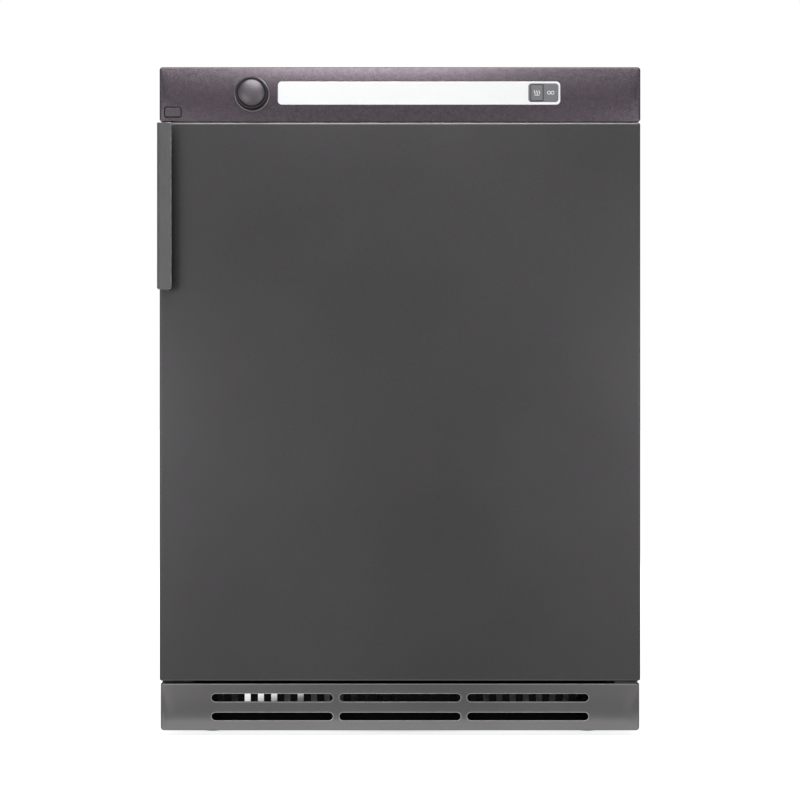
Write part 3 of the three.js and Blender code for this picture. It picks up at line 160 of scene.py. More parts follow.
def loft(rings: Array, caps: tuple[bool, bool] = (True, True)) -> Surface:
    """Skin over rings of equal count: quad (i, k) joins ring i to ring i + 1 between columns k and k + 1.

    Args:
        rings: (R, N, 3) points; every ring is closed.
        caps: whether the first and the last ring are filled with one face.

    Returns:
        The skinned surface.
    """
    count, width = rings.shape[:2]
    row = np.arange(count - 1)[:, None] * width
    col = np.arange(width)[None, :]
    nxt = (col + 1) % width
    quads = np.stack([row + col, row + nxt, row + nxt + width, row + col + width], -1).reshape(-1, 4)
    faces = [tuple(q) for q in quads.tolist()]
    if caps[0]:
        faces.append(tuple(range(width - 1, -1, -1)))
    if caps[1]:
        faces.append(tuple(range((count - 1) * width, count * width)))
    return Surface(rings.reshape(-1, 3), faces)


def revolved(profile: Profile, centre: Pair = (0.0, 0.0), axis: str = "y", steps: int = 64,
             wave: Callable[[Array, Array], Array] | None = None) -> Surface:
    """Surface of revolution: point (s, a) lies r(s) from the axis at angle a, with r(s) + wave(s, a) if given.

    Args:
        profile: pairs of radius and station along the axis; ends on the axis or back at its start.
        centre: (x, z) of an axis along the depth, (x, depth) of an upright one.
        axis: "y" along the depth, "z" upright.
        steps: points round one turn.
        wave: extra radius as a function of station and angle.

    Returns:
        The turned surface.
    """
    rs = np.asarray(profile, float)
    a = np.linspace(0.0, FULL, steps, endpoint=False)
    radius = np.repeat(rs[:, :1], steps, 1)
    station = np.repeat(rs[:, 1:], steps, 1)
    if wave is not None:
        radius = radius + wave(station, np.broadcast_to(a, radius.shape))
    u, v = centre[0] + radius * np.cos(a), centre[1] + radius * np.sin(a)
    rings = np.stack([u, station, v] if axis == "y" else [u, v, station], -1)
    ring = np.allclose(rs[0], rs[-1])
    return loft(rings, (rs[0, 0] > 1e-6 and not ring, rs[-1, 0] > 1e-6 and not ring))


def inside(points: Array, loop: Array) -> Array:
    """Tells which 2-D points lie inside a loop, by the parity of the edges that a ray to the right crosses.

    Args:
        points: (P, 2) points.
        loop: (N, 2) closed loop.

    Returns:
        (P,) truth values.
    """
    x, y = points[:, :1], points[:, 1:]
    (x0, y0), (x1, y1) = loop.T[:, None], np.roll(loop, -1, 0).T[:, None]
    spans = (y0 > y) != (y1 > y)
    slope = (x1 - x0) / np.where(np.abs(y1 - y0) < 1e-12, 1e-12, y1 - y0)
    return (np.sum(spans & (x < x0 + (y - y0) * slope), 1) % 2).astype(bool)


def filled(outer: Array, holes: Sequence[Array], spacing: Pair | None = None) -> tuple[Array, Array]:
    """Flat triangles between an outer loop and holes: a constrained Delaunay net, kept where it is material.

    Args:
        outer: (N, 2) outer loop.
        holes: loops of the holes.
        spacing: steps across and up of the points laid inside, where the face is curved.

    Returns:
        Points (P, 2) and triangles (T, 3).
    """
    loops = [outer, *holes]
    starts = np.cumsum([0] + [len(loop) for loop in loops])
    edges = np.vstack([np.stack([s + np.arange(len(loop)), s + (np.arange(len(loop)) + 1) % len(loop)], -1)
                       for s, loop in zip(starts, loops)])
    points = np.vstack(loops)
    if spacing:
        gx, gz = (np.arange(low + step / 2, high, step)
                  for low, high, step in zip(outer.min(0), outer.max(0), spacing))
        net = np.stack(np.meshgrid(gx, gz), -1).reshape(-1, 2)
        keep = inside(net, outer)
        for loop in loops:
            keep &= np.linalg.norm(net[:, None] - loop[None], axis=2).min(1) > min(spacing) * 0.35
        points = np.vstack([points, net[keep]])
    verts, _, faces, *_ = delaunay_2d_cdt([Vector(p) for p in points], edges.tolist(), [], 0, 1e-5)
    out = np.array([tuple(v) for v in verts])
    tris = np.array([f for f in faces if len(f) == 3])
    middle = out[tris].mean(1)
    keep = inside(middle, outer)
    for loop in holes:
        keep &= ~inside(middle, loop)
    return out, tris[keep]


@dataclass
class Panel:
    """Closed plate or shell between a front face and a back face, with rims round it and round its holes.

    A rim is a list of (inset, depth) or (inset, depth, weight): ring k is the outline at that inset, at that
    depth less weight times the crown there. The faces fill the first and the last rings.
    """

    outer: Outline
    rim: Profile
    holes: Sequence[tuple[Outline, Profile]] = ()
    crown: Callable[[Array, Array], Array] | None = None
    spacing: Pair | None = None

    def lifted(self, flat: Array, depth: float, weight: float = 1.0) -> Array:
        """Raises a flat outline by its share of the crown.

        Args:
            flat: (N, 2) points across and up.
            depth: their depth.
            weight: share of the crown that they get.

        Returns:
            (N, 3) points (x, depth, z).
        """
        y = np.full(len(flat), float(depth))
        if self.crown is not None and weight:
            y = y - weight * self.crown(flat[:, 0], flat[:, 1])
        return np.stack([flat[:, 0], y, flat[:, 1]], -1)

    def wall(self, outline: Outline, rim: Profile) -> Surface:
        """Returns the loft through one rim's rings, open at both ends."""
        return loft(np.array([self.lifted(outline(p[0]), *p[1:]) for p in rim]), (False, False))

    def face(self, end: int) -> Surface:
        """Fills one end of the panel between its rim and its holes.

        Args:
            end: 0 for the front face, -1 for the back face.

        Returns:
            The face.
        """
        inset, *place = self.rim[end]
        flat, tris = filled(self.outer(inset), [o(r[end][0]) for o, r in self.holes], self.spacing)
        return Surface(self.lifted(flat, *place), [tuple(t) for t in tris.tolist()])

    def surface(self) -> Surface:
        """Joins both faces and all rims.

        Returns:
            One closed surface.
        """
        whole = self.face(0) + self.face(-1) + self.wall(self.outer, self.rim)
        for outline, rim in self.holes:
            whole = whole + self.wall(outline, rim)
        return whole


def plate_rim(thickness: float, soften: float = 0.3, front: float = 0.0, steps: int = 3) -> list[Pair]:
    """Rim of a flat plate: a small round at the front edge and at the back edge, with a support ring at each.

    Args:
        thickness: of the plate.
        soften: radius of both rounds.
        front: depth of the front face.
        steps: segments of each round.

    Returns:
        Pairs of inset and depth from the front face to the back face.
    """
    fore = [(i, front + d) for i, d in quarter(soften, steps)]
    aft = [(i, front + thickness - d) for i, d in reversed(quarter(soften, steps))]
    return [(soften * 2, front), *fore, *aft, (soften * 2, front + thickness)]


def hole_rim(thickness: float, soften: float = 0.3, front: float = 0.0, steps: int = 3) -> list[Pair]:
    """Rim of a hole through a plate: the mirror image of the plate's own rim, so its insets are negative."""
    return [(-i, d) for i, d in plate_rim(thickness, soften, front, steps)]


# ---------------------------------------------------------------------------------------------
# Pieces
# ---------------------------------------------------------------------------------------------
def meshed(name: str, surface: Surface) -> bpy.types.Mesh:
    """Turns a surface into a mesh in the frame, in metres.

    Args:
        name: name of the mesh.
        surface: its surface.

    Returns:
        The mesh.
    """
    mesh = bpy.data.meshes.new(name)
    mesh.from_pydata(surface.points * MM + (0.0, FACE_Y, 0.0), [], surface.faces)
    return mesh


def weld(work: bmesh.types.BMesh) -> None:
    """Merges corners that lie on each other."""
    bmesh.ops.remove_doubles(work, verts=work.verts, dist=WELD)


def turn_out(work: bmesh.types.BMesh) -> None:
    """Turns every face outwards."""
    bmesh.ops.recalc_face_normals(work, faces=work.faces)


def edited(name: str, mesh: bpy.types.Mesh, *steps: Callable[[bmesh.types.BMesh], object]) -> bpy.types.Object:
    """Edits a mesh, shades it smooth between its sharp edges and gives it an object.

    Args:
        name: name of the object.
        mesh: its mesh.
        steps: edits, each a function of the opened mesh.

    Returns:
        The object.
    """
    work = bmesh.new()
    work.from_mesh(mesh)
    for step in steps:
        step(work)
    work.to_mesh(mesh)
    work.free()
    mesh.shade_smooth()
    mesh.set_sharp_from_angle(angle=SMOOTH)
    return bpy.data.objects.new(name, mesh)


def settle(piece: bpy.types.Object, finish: "Finish", body: str, *nodes: str) -> None:
    """Dresses a finished piece and hangs it on its body.

    Args:
        piece: mesh object at the origin.
        finish: its finish, which also says its slot in the record.
        body: the body that it moves with.
        nodes: the CAD nodes that it stands for.
    """
    bpy.context.scene.collection.objects.link(piece)
    piece.data.materials.clear()
    piece.data.materials.append(finish.material())
    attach(piece, body)
    if nodes:
        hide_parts(*nodes)
    log.info("%s: %d faces on %s", piece.name, len(piece.data.polygons), body)


def made(name: str, surface: Surface, finish: "Finish", body: str, *nodes: str) -> None:
    """Makes a surface into a piece: corners merged, slivers dissolved, faces turned outwards.

    Args:
        name: name of the piece.
        surface: its closed surface.
        finish: its finish.
        body: the body that it moves with.
        nodes: the CAD nodes that it stands for.
    """
    piece = edited(name, meshed(name, surface), weld,
                   lambda work: bmesh.ops.dissolve_degenerate(work, dist=SLIVER, edges=work.edges), turn_out)
    settle(piece, finish, body, *nodes)


@dataclass(frozen=True)
class Soft:
    """A CAD node that keeps its shape and gets softer edges: its finish, its body and its bevel."""

    node: str
    finish: "Finish"
    body: str = "root"
    width: float = 0.4
    segments: int = 2

    def build(self) -> None:
        """Copies the node, merges its loose corners and flat faces, and adds a live bevel."""
        name = self.node + "_soft"
        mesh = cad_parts[self.node].data.copy()
        mesh.name = name
        piece = edited(name, mesh, weld, lambda work: bmesh.ops.dissolve_limit(
            work, angle_limit=FLAT, verts=work.verts, edges=work.edges), turn_out)
        edge = piece.modifiers.new("soft_edges", "BEVEL")
        edge.width = self.width * MM
        edge.segments = self.segments
        edge.limit_method = "ANGLE"
        edge.angle_limit = BEVELLED
        edge.harden_normals = True
        settle(piece, self.finish, self.body, self.node)


def dress(node: str, finish: "Finish") -> None:
    """Gives a CAD node that keeps its shape a finish.

    Args:
        node: name of the node.
        finish: its finish.
    """
    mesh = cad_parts[node].data
    mesh.materials.clear()
    mesh.materials.append(finish.material())
    log.info("%s: CAD shape kept", node)


# ---------------------------------------------------------------------------------------------
# Shader building
# ---------------------------------------------------------------------------------------------
class Tree:
    """Short way to place nodes in one tree and link them by socket name."""

    def __init__(self, tree: bpy.types.NodeTree) -> None:
        """Keeps the tree that nodes are placed in."""
        self.tree = tree

    def fill(self, socket: Socket, value: object) -> None:
        """Links a socket to a value that is a socket too, or else sets it.

        Args:
            socket: the input to fill.
            value: a number, a vector, a colour or a socket.
        """
        if isinstance(value, Socket):
            self.tree.links.new(value, socket)
        else:
            socket.default_value = value

    def add(self, kind: str, _settings: dict | None = None, **inputs: object) -> bpy.types.Node:
        """Places a node and fills its inputs.

        Args:
            kind: short name of the node type, without its prefix.
            _settings: properties of the node.
            inputs: values, or sockets to link, by input name; i0, i1 and so on go by position.

        Returns:
            The node.
        """
        node = self.tree.nodes.new("ShaderNode" + kind)
        for key, value in (_settings or {}).items():
            setattr(node, key, value)
        for key, value in inputs.items():
            by_place = key[0] == "i" and key[1:].isdigit()
            self.fill(node.inputs[int(key[1:]) if by_place else key.replace("_", " ")], value)
        return node

    def group(self, built: bpy.types.NodeTree, **inputs: object) -> bpy.types.NodeOutputs:
        """Places a shared effect and returns its outputs."""
        return self.add("Group", {"node_tree": built}, **inputs).outputs

    def place(self) -> Socket:
        """Returns the object coordinates."""
        return self.add("TexCoord").outputs["Object"]

    def math(self, operation: str, a: object, b: object = 0.0, clamp: bool = False) -> Socket:
        """Returns the result of a Math node on two values."""
        return self.add("Math", {"operation": operation, "use_clamp": clamp}, i0=a, i1=b).outputs[0]

    def vector(self, operation: str, *values: object, output: int = 0) -> Socket:
        """Returns the result of a Vector Math node; output 1 holds a length or a dot product."""
        inputs = {f"i{i}": value for i, value in enumerate(values)}
        return self.add("VectorMath", {"operation": operation}, **inputs).outputs[output]

    def dimmed(self, colour: Socket, factor: Socket) -> Socket:
        """Returns a colour times a factor."""
        return self.add("VectorMath", {"operation": "SCALE"}, i0=colour, Scale=factor).outputs[0]

    def span(self, value: object, low: float, high: float, to_low: float = 0.0, to_high: float = 1.0,
             smooth: bool = True) -> Socket:
        """Maps a value from one range to another, clamped.

        Args:
            value: the value, or a socket.
            low: start of its range.
            high: end of its range.
            to_low: result at the start.
            to_high: result at the end.
            smooth: whether it follows a smooth step.

        Returns:
            The result.
        """
        kind = "SMOOTHSTEP" if smooth else "LINEAR"
        node = self.add("MapRange", {"interpolation_type": kind, "clamp": True},
                        Value=value, From_Min=low, From_Max=high, To_Min=to_low, To_Max=to_high)
        return node.outputs[0]

    def blend(self, factor: object, a: object, b: object) -> Socket:
        """Returns one colour blended into another by a factor."""
        settings = {"data_type": "RGBA", "blend_type": "MIX", "clamp_factor": True}
        return self.add("Mix", settings, i0=factor, i6=a, i7=b).outputs[2]


Wire = Callable[[Tree, bpy.types.NodeOutputs], dict[str, Socket]]


def effect(name: str, **inputs: object) -> Callable[[Wire], Callable[[], bpy.types.NodeTree]]:
    """Turns a function that wires an effect's nodes into one that returns the effect's node group.

    Args:
        name: name of the group.
        inputs: the group's inputs with their defaults, a vector where the default is one.

    Returns:
        The decorator. Every output of the effect is a number.
    """

    def wrap(wire: Wire) -> Callable[[], bpy.types.NodeTree]:
        """Keeps the wiring for the first call."""

        def built() -> bpy.types.NodeTree:
            """Returns the group, built the first time."""
            group = bpy.data.node_groups.get(name)
            if group:
                return group
            group = bpy.data.node_groups.new(name, "ShaderNodeTree")
            for key, default in inputs.items():
                kind = "NodeSocketVector" if isinstance(default, tuple) else "NodeSocketFloat"
                group.interface.new_socket(name=key, in_out="INPUT", socket_type=kind).default_value = default
            given = group.nodes.new("NodeGroupInput").outputs
            results = wire(Tree(group), given)
            for key in results:
                group.interface.new_socket(name=key, in_out="OUTPUT", socket_type="NodeSocketFloat")
            out = group.nodes.new("NodeGroupOutput")
            for key, value in results.items():
                group.links.new(value, out.inputs[key])
            return group

        return built

    return wrap


@effect("fine_grain", Scale=900.0, Stretch=(1.0, 1.0, 1.0))
def fine_grain(tree: Tree, given: bpy.types.NodeOutputs) -> dict[str, Socket]:
    """Fine surface grain: noise on object coordinates, stretched by Stretch, and rare flecks.

    Args:
        tree: the group's tree.
        given: its inputs.

    Returns:
        The grain's height and the mask of its flecks.
    """
    place = tree.vector("MULTIPLY", tree.place(), given["Stretch"])
    fine = tree.add("TexNoise", Vector=place, Scale=given["Scale"], Detail=3.0, Roughness=0.6)
    speck = tree.add("TexVoronoi", {"feature": "F1"}, Vector=place, Scale=given["Scale"])
    return {"Height": fine.outputs[0], "Fleck": tree.span(speck.outputs["Distance"], 0.16, 0.05)}


@effect("slow_tone", Scale=6.0)
def slow_tone(tree: Tree, given: bpy.types.NodeOutputs) -> dict[str, Socket]:
    """Slow variation of tone: large noise, centred so that its mean is near a half.

    Args:
        tree: the group's tree.
        given: its inputs.

    Returns:
        The tone.
    """
    wide = tree.add("TexNoise", Vector=tree.place(), Scale=given["Scale"], Detail=4.0, Roughness=0.55)
    return {"Tone": tree.span(wide.outputs[0], 0.3, 0.7)}


@effect("edge_wear_and_highlight", Radius=0.0012, Amount=0.5)
def edge_wear_and_highlight(tree: Tree, given: bpy.types.NodeOutputs) -> dict[str, Socket]:
    """Rubbed edges, coloured light on the door, handle and plinth enamels and on the edge paint as a painted
    highlight: how far the bevelled normal turns from the face's normal, broken up by noise.

    Args:
        tree: the group's tree.
        given: its inputs.

    Returns:
        The mask of rubbed edges, and of edges given a painted highlight.
    """
    bent = tree.add("Bevel", {"samples": 4}, Radius=given["Radius"]).outputs[0]
    near = tree.vector("DOT_PRODUCT", bent, tree.add("NewGeometry").outputs["Normal"], output=1)
    spot = tree.add("TexNoise", Vector=tree.place(), Scale=140.0, Detail=5.0)
    broken = tree.math("MULTIPLY", tree.span(near, 0.995, 0.86), tree.span(spot.outputs[0], 0.35, 0.62))
    return {"Mask": tree.math("MULTIPLY", broken, given["Amount"], True)}


@effect("settled_dust", Amount=0.2)
def settled_dust(tree: Tree, given: bpy.types.NodeOutputs) -> dict[str, Socket]:
    """Settled dust: faces that look up, broken up by noise.

    Args:
        tree: the group's tree.
        given: its inputs.

    Returns:
        The mask of the dust.
    """
    up = tree.add("SeparateXYZ", i0=tree.add("NewGeometry").outputs["Normal"]).outputs[2]
    spot = tree.add("TexNoise", Vector=tree.place(), Scale=420.0, Detail=4.0)
    mask = tree.math("MULTIPLY", tree.span(up, 0.55, 1.0), tree.span(spot.outputs[0], 0.35, 0.75))
    return {"Mask": tree.math("MULTIPLY", mask, given["Amount"], True)}


@effect("turning_marks", Scale=1800.0, Centre=(0.0, 0.0, 0.0))
def turning_marks(tree: Tree, given: bpy.types.NodeOutputs) -> dict[str, Socket]:
    """Turning marks: fine noise on the distance from an axis along the depth through Centre.

    Args:
        tree: the group's tree.
        given: its inputs.

    Returns:
        The marks' height.
    """
    flat = tree.vector("MULTIPLY", tree.vector("SUBTRACT", tree.place(), given["Centre"]), (1.0, 0.0, 1.0))
    marks = tree.add("TexNoise", {"noise_dimensions": "1D"}, W=tree.vector("LENGTH", flat, output=1),
                     Scale=given["Scale"], Detail=2.0)
    return {"Height": marks.outputs[0]}


@effect("zinc_spangle", Scale=85.0)
def zinc_spangle(tree: Tree, given: bpy.types.NodeOutputs) -> dict[str, Socket]:
    """Zinc spangle: one even tone per crystal, from two sizes of Voronoi cells with ragged borders.

    Args:
        tree: the group's tree.
        given: its inputs.

    Returns:
        The tone.
    """
    place = tree.place()
    ragged = tree.add("TexNoise", Vector=place, Scale=260.0, Detail=3.0).outputs[1]
    bent = tree.vector("MULTIPLY_ADD", ragged, (0.004, 0.004, 0.004), place)
    cells = [tree.add("TexVoronoi", {"feature": "F1"}, Vector=bent, Scale=scale)
             for scale in (given["Scale"], tree.math("MULTIPLY", given["Scale"], 2.3))]
    tones = [tree.add("SeparateColor", i0=cell.outputs["Color"]).outputs[0] for cell in cells]
    return {"Tone": tree.math("MULTIPLY", tree.math("ADD", *tones), 0.5)}


def linear(hexcode: str) -> tuple[float, float, float, float]:
    """Turns an sRGB colour into a linear one.

    Args:
        hexcode: the colour as # and six digits.

    Returns:
        Red, green, blue and alpha.
    """
    s = np.array([int(hexcode[i:i + 2], 16) / 255 for i in (1, 3, 5)])
    lin = np.where(s <= 0.04045, s / 12.92, ((s + 0.055) / 1.055) ** 2.4)
    return (*lin.tolist(), 1.0)


class Lay(Enum):
    """Direction that a surface's grain runs in, as the stretch of its noise on each axis."""

    EVEN = (1.0, 1.0, 1.0)
    UPRIGHT = (1.0, 1.0, 0.06)
    DEEP = (1.0, 0.05, 1.0)


class Slot(Enum):
    """The record's material slots."""

    CASING = "painted_casing"
    HANDLE = "handle_paint"
    ZINC = "zinc_sheet"
    STAINLESS = "stainless_drum"
    BUTTON = "button_metal"
    FASCIA = "fascia_moulding"
    WHITE = "white_window"
    KEY = "key_grey"
    BLACK = "black_plastic"
    GREY = "grey_plastic"
    SEAL = "seal_rubber"
    FELT = "felt"
    BOARD = "board"
    ELEMENT = "element_steel"


@dataclass(frozen=True)
class Finish:
    """One surface finish: its slot in the record, colours, gloss, grain, slow tone, rubbed edges that are a
    painted highlight on some finishes, and dust.
    """

    name: str
    slot: Slot
    colour: str
    shade: str
    roughness: float = 0.5
    metallic: float = 0.0
    specular: float = 0.5
    coat: float = 0.0
    coat_roughness: float = 0.15
    grain: float = 900.0
    grain_depth: float = 0.02
    grain_tone: float = 0.3
    lay: Lay = Lay.EVEN
    tone_scale: float = 5.0
    tone: float = 0.6
    fleck: str = "#9a9a9a"
    fleck_amount: float = 0.0
    # edge colour, amount and radius: rubbing on most finishes, a painted highlight on the door, handle and plinth
    # enamels and the edge paint
    worn_and_highlight_colour: str = "#a0a0a0"
    wear_and_highlight: float = 0.25
    wear_and_highlight_radius: float = 1.1
    dust: float = 0.08
    dust_colour: str = "#b9b4ac"
    spangle: float = 0.0
    marks_centre: Point | None = None  # of marks turned round an axis along the depth

    def material(self) -> bpy.types.Material:
        """Returns the finish's material, built the first time."""
        found = bpy.data.materials.get(self.name)
        if found:
            return found
        new = bpy.data.materials.new(self.name)
        new.use_nodes = True
        new.node_tree.nodes.clear()
        tree = Tree(new.node_tree)
        grain = tree.group(fine_grain(), Scale=self.grain, Stretch=self.lay.value)
        dust = tree.group(settled_dust(), Amount=self.dust)["Mask"]
        shader = tree.add("BsdfPrincipled", IOR=1.45, Specular_IOR_Level=self.specular, Coat_Weight=self.coat,
                          Coat_Roughness=self.coat_roughness, Metallic=self.metallic,
                          Base_Color=self.coloured(tree, grain, dust),
                          Roughness=self.roughened(tree, grain["Height"], dust),
                          Normal=self.relief(tree, grain["Height"]))
        tree.add("OutputMaterial", i0=shader.outputs[0])
        return new

    def coloured(self, tree: Tree, grain: bpy.types.NodeOutputs, dust: Socket) -> Socket:
        """Mixes the finish's colours.

        Args:
            tree: the material's tree.
            grain: outputs of its grain.
            dust: mask of its dust.

        Returns:
            The colour, from shade and grain through spangle, flecks, rubbed edges and painted edge highlights to
            dust.
        """
        tone = tree.math("MULTIPLY", tree.group(slow_tone(), Scale=self.tone_scale)["Tone"], self.tone)
        colour = tree.blend(tone, linear(self.colour), linear(self.shade))
        fine = tree.span(grain["Height"], 0.25, 0.75, -self.grain_tone, self.grain_tone, False)
        colour = tree.dimmed(colour, tree.math("ADD", fine, 1.0))
        if self.spangle:
            half = self.spangle / 2
            cells = tree.group(zinc_spangle())["Tone"]
            colour = tree.dimmed(colour, tree.span(cells, 0.0, 1.0, 1.0 - half, 1.0 + half, False))
        if self.fleck_amount:
            colour = tree.blend(tree.math("MULTIPLY", grain["Fleck"], self.fleck_amount), colour,
                                linear(self.fleck))
        # edge mask: rubbing, and a painted highlight on the finishes that colour it light
        wear_and_highlight = tree.group(edge_wear_and_highlight(), Radius=self.wear_and_highlight_radius * MM, Amount=self.wear_and_highlight)["Mask"]
        return tree.blend(dust, tree.blend(wear_and_highlight, colour, linear(self.worn_and_highlight_colour)), linear(self.dust_colour))

    def roughened(self, tree: Tree, height: Socket, dust: Socket) -> Socket:
        """Varies the roughness by the grain and raises it by dust.

        Args:
            tree: the material's tree.
            height: height of its grain.
            dust: mask of its dust.

        Returns:
            The roughness.
        """
        swing = 0.05
        rough = tree.span(height, 0.3, 0.7, self.roughness - swing, self.roughness + swing, False)
        return tree.math("ADD", rough, tree.math("MULTIPLY", dust, 0.3), True)

    def relief(self, tree: Tree, height: Socket) -> Socket:
        """Bends the normal by the grain, and by turning marks where the finish has them.

        Args:
            tree: the material's tree.
            height: height of its grain.

        Returns:
            The normal.
        """
        if self.marks_centre is not None:
            marks = tree.group(turning_marks(), Centre=[v * MM for v in self.marks_centre])["Height"]
            height = tree.math("ADD", tree.math("MULTIPLY", height, 0.3), marks)
        return tree.add("Bump", Strength=0.6, Distance=self.grain_depth * MM, Height=height).outputs[0]


# ---------------------------------------------------------------------------------------------
# Finishes of this machine
# ---------------------------------------------------------------------------------------------
# door enamel: its light edge colour is a painted highlight along the door's rounded edges
GRAPHITE = Finish("graphite_enamel", Slot.CASING, "#3b3a3b", "#353435", roughness=0.31, metallic=0.85,
                  specular=0.3, grain=1300.0, grain_tone=0.08, tone_scale=3.0, tone=0.8, worn_and_highlight_colour="#9a9a9a",
                  wear_and_highlight=0.5, dust=0.04)
# painted light: a lighter copy of the door's enamel for the light that the plinth takes from the floor; its light
# edge colour is a painted highlight on the slot lips
PLINTH_LIT_PAINT = Finish("plinth_enamel_lit", Slot.CASING, "#4d4c4c", "#464545", roughness=0.32, metallic=0.85,
                      specular=0.3, grain=1100.0, grain_tone=0.1, tone_scale=5.0, tone=0.7, worn_and_highlight_colour="#b0b0b0",
                      wear_and_highlight=0.7, dust=0.04)
# its light edge colour is a painted highlight along the handle's edges
HANDLE = Finish("handle_enamel", Slot.HANDLE, "#4b4b4b", "#444444", roughness=0.34, metallic=0.85, specular=0.3,
                grain=1000.0, grain_tone=0.08, lay=Lay.UPRIGHT, worn_and_highlight_colour="#bcbcbc", wear_and_highlight=0.8, wear_and_highlight_radius=1.0,
                dust=0.04)
CASING = Finish("casing_enamel", Slot.CASING, "#403f40", "#393839", roughness=0.42, metallic=0.8, specular=0.3,
                grain=1300.0, grain_depth=0.03, grain_tone=0.1, tone_scale=4.0, worn_and_highlight_colour="#7d7d7d", wear_and_highlight=0.25,
                dust=0.06)
MOULDING = Finish("pearl_film", Slot.FASCIA, "#433c42", "#393237", roughness=0.25, metallic=0.85, coat=0.15,
                  coat_roughness=0.2, grain=900.0, grain_tone=0.2, tone_scale=170.0, tone=0.9, fleck="#a89ca4",
                  fleck_amount=0.35, worn_and_highlight_colour="#9a8f96", wear_and_highlight=0.0, dust=0.03)
BEZEL = Finish("bezel_moulding", Slot.FASCIA, "#262325", "#201d1f", roughness=0.5, specular=0.25, grain=1500.0,
               grain_tone=0.15, worn_and_highlight_colour="#5a5558", wear_and_highlight=0.15, wear_and_highlight_radius=0.6, dust=0.08)
GLOSS_WHITE = Finish("gloss_white", Slot.WHITE, "#f0f1f1", "#eceeee", roughness=0.14, coat=0.5,
                     coat_roughness=0.04, grain=300.0, grain_depth=0.004, grain_tone=0.01, worn_and_highlight_colour="#ffffff",
                     wear_and_highlight=0.0, dust=0.01)
KEY = Finish("key_moulding", Slot.KEY, "#6c6b6f", "#656468", roughness=0.5, specular=0.3, grain=1900.0,
             grain_depth=0.015, grain_tone=0.1, worn_and_highlight_colour="#a5a5a8", wear_and_highlight=0.25, wear_and_highlight_radius=0.6, dust=0.02)
SYMBOL = Finish("white_ink", Slot.WHITE, "#e6e6e6", "#dadada", roughness=0.5, grain=2500.0, grain_tone=0.05,
                wear_and_highlight=0.0, dust=0.0)
RING_BLACK = Finish("ring_black", Slot.BLACK, "#1a171a", "#131114", roughness=0.42, specular=0.2, grain=1600.0,
                    grain_depth=0.01, grain_tone=0.2, worn_and_highlight_colour="#4a464a", wear_and_highlight=0.4, wear_and_highlight_radius=0.7, dust=0.03)
SWITCH = Finish("switch_moulding", Slot.BLACK, "#383236", "#302b2e", roughness=0.32, metallic=0.6, coat=0.3,
                coat_roughness=0.25, grain=1500.0, grain_tone=0.14, worn_and_highlight_colour="#6d686c", wear_and_highlight=0.1, wear_and_highlight_radius=0.5,
                dust=0.02)
COLLAR = Finish("collar_satin", Slot.FASCIA, "#625d61", "#585357", roughness=0.3, metallic=0.9, grain=1500.0,
                grain_depth=0.01, grain_tone=0.08, worn_and_highlight_colour="#a8a3a7", wear_and_highlight=0.3, dust=0.0)
SATIN_METAL = Finish("satin_metal", Slot.ZINC, "#b9b6b8", "#a9a6a8", roughness=0.3, metallic=1.0, grain=1200.0,
                     grain_depth=0.01, grain_tone=0.06, tone=0.3, worn_and_highlight_colour="#ffffff", wear_and_highlight=0.2, dust=0.0)
ZINC = Finish("zinc_coating", Slot.ZINC, "#9b9fa2", "#8b8f93", roughness=0.4, metallic=0.9, grain=420.0,
              grain_depth=0.01, grain_tone=0.1, tone_scale=6.0, tone=0.7, spangle=0.3, worn_and_highlight_colour="#c6c8ca", wear_and_highlight=0.3,
              dust=0.05)
STAINLESS = Finish("drum_stainless", Slot.STAINLESS, "#c3c5c6", "#b1b3b5", roughness=0.24, metallic=1.0,
                   grain=700.0, grain_depth=0.01, grain_tone=0.08, lay=Lay.DEEP, tone_scale=8.0, tone=0.4,
                   worn_and_highlight_colour="#ededed", wear_and_highlight=0.2, dust=0.0)
GREY = Finish("grey_moulding", Slot.GREY, "#8c8f92", "#828588", roughness=0.48, grain=1300.0, grain_depth=0.03,
              grain_tone=0.08, tone=0.5, worn_and_highlight_colour="#b4b6b8", wear_and_highlight=0.25, dust=0.15)
BLACK = Finish("black_moulding", Slot.BLACK, "#1b1b1d", "#151517", roughness=0.5, grain=1300.0,
               grain_depth=0.03, grain_tone=0.2, worn_and_highlight_colour="#46464a", wear_and_highlight=0.35, dust=0.1)
# painted highlight: light paint on the beads that stands in for the light caught by rounded upper edges
EDGE_HIGHLIGHT_PAINT = Finish("painted_edge_highlight", Slot.CASING, "#7d7d7c", "#727271", roughness=0.34, metallic=0.8,
                    specular=0.3, grain=1200.0, grain_tone=0.1, tone=0.6, worn_and_highlight_colour="#b4b4b4", wear_and_highlight=0.3, dust=0.03)
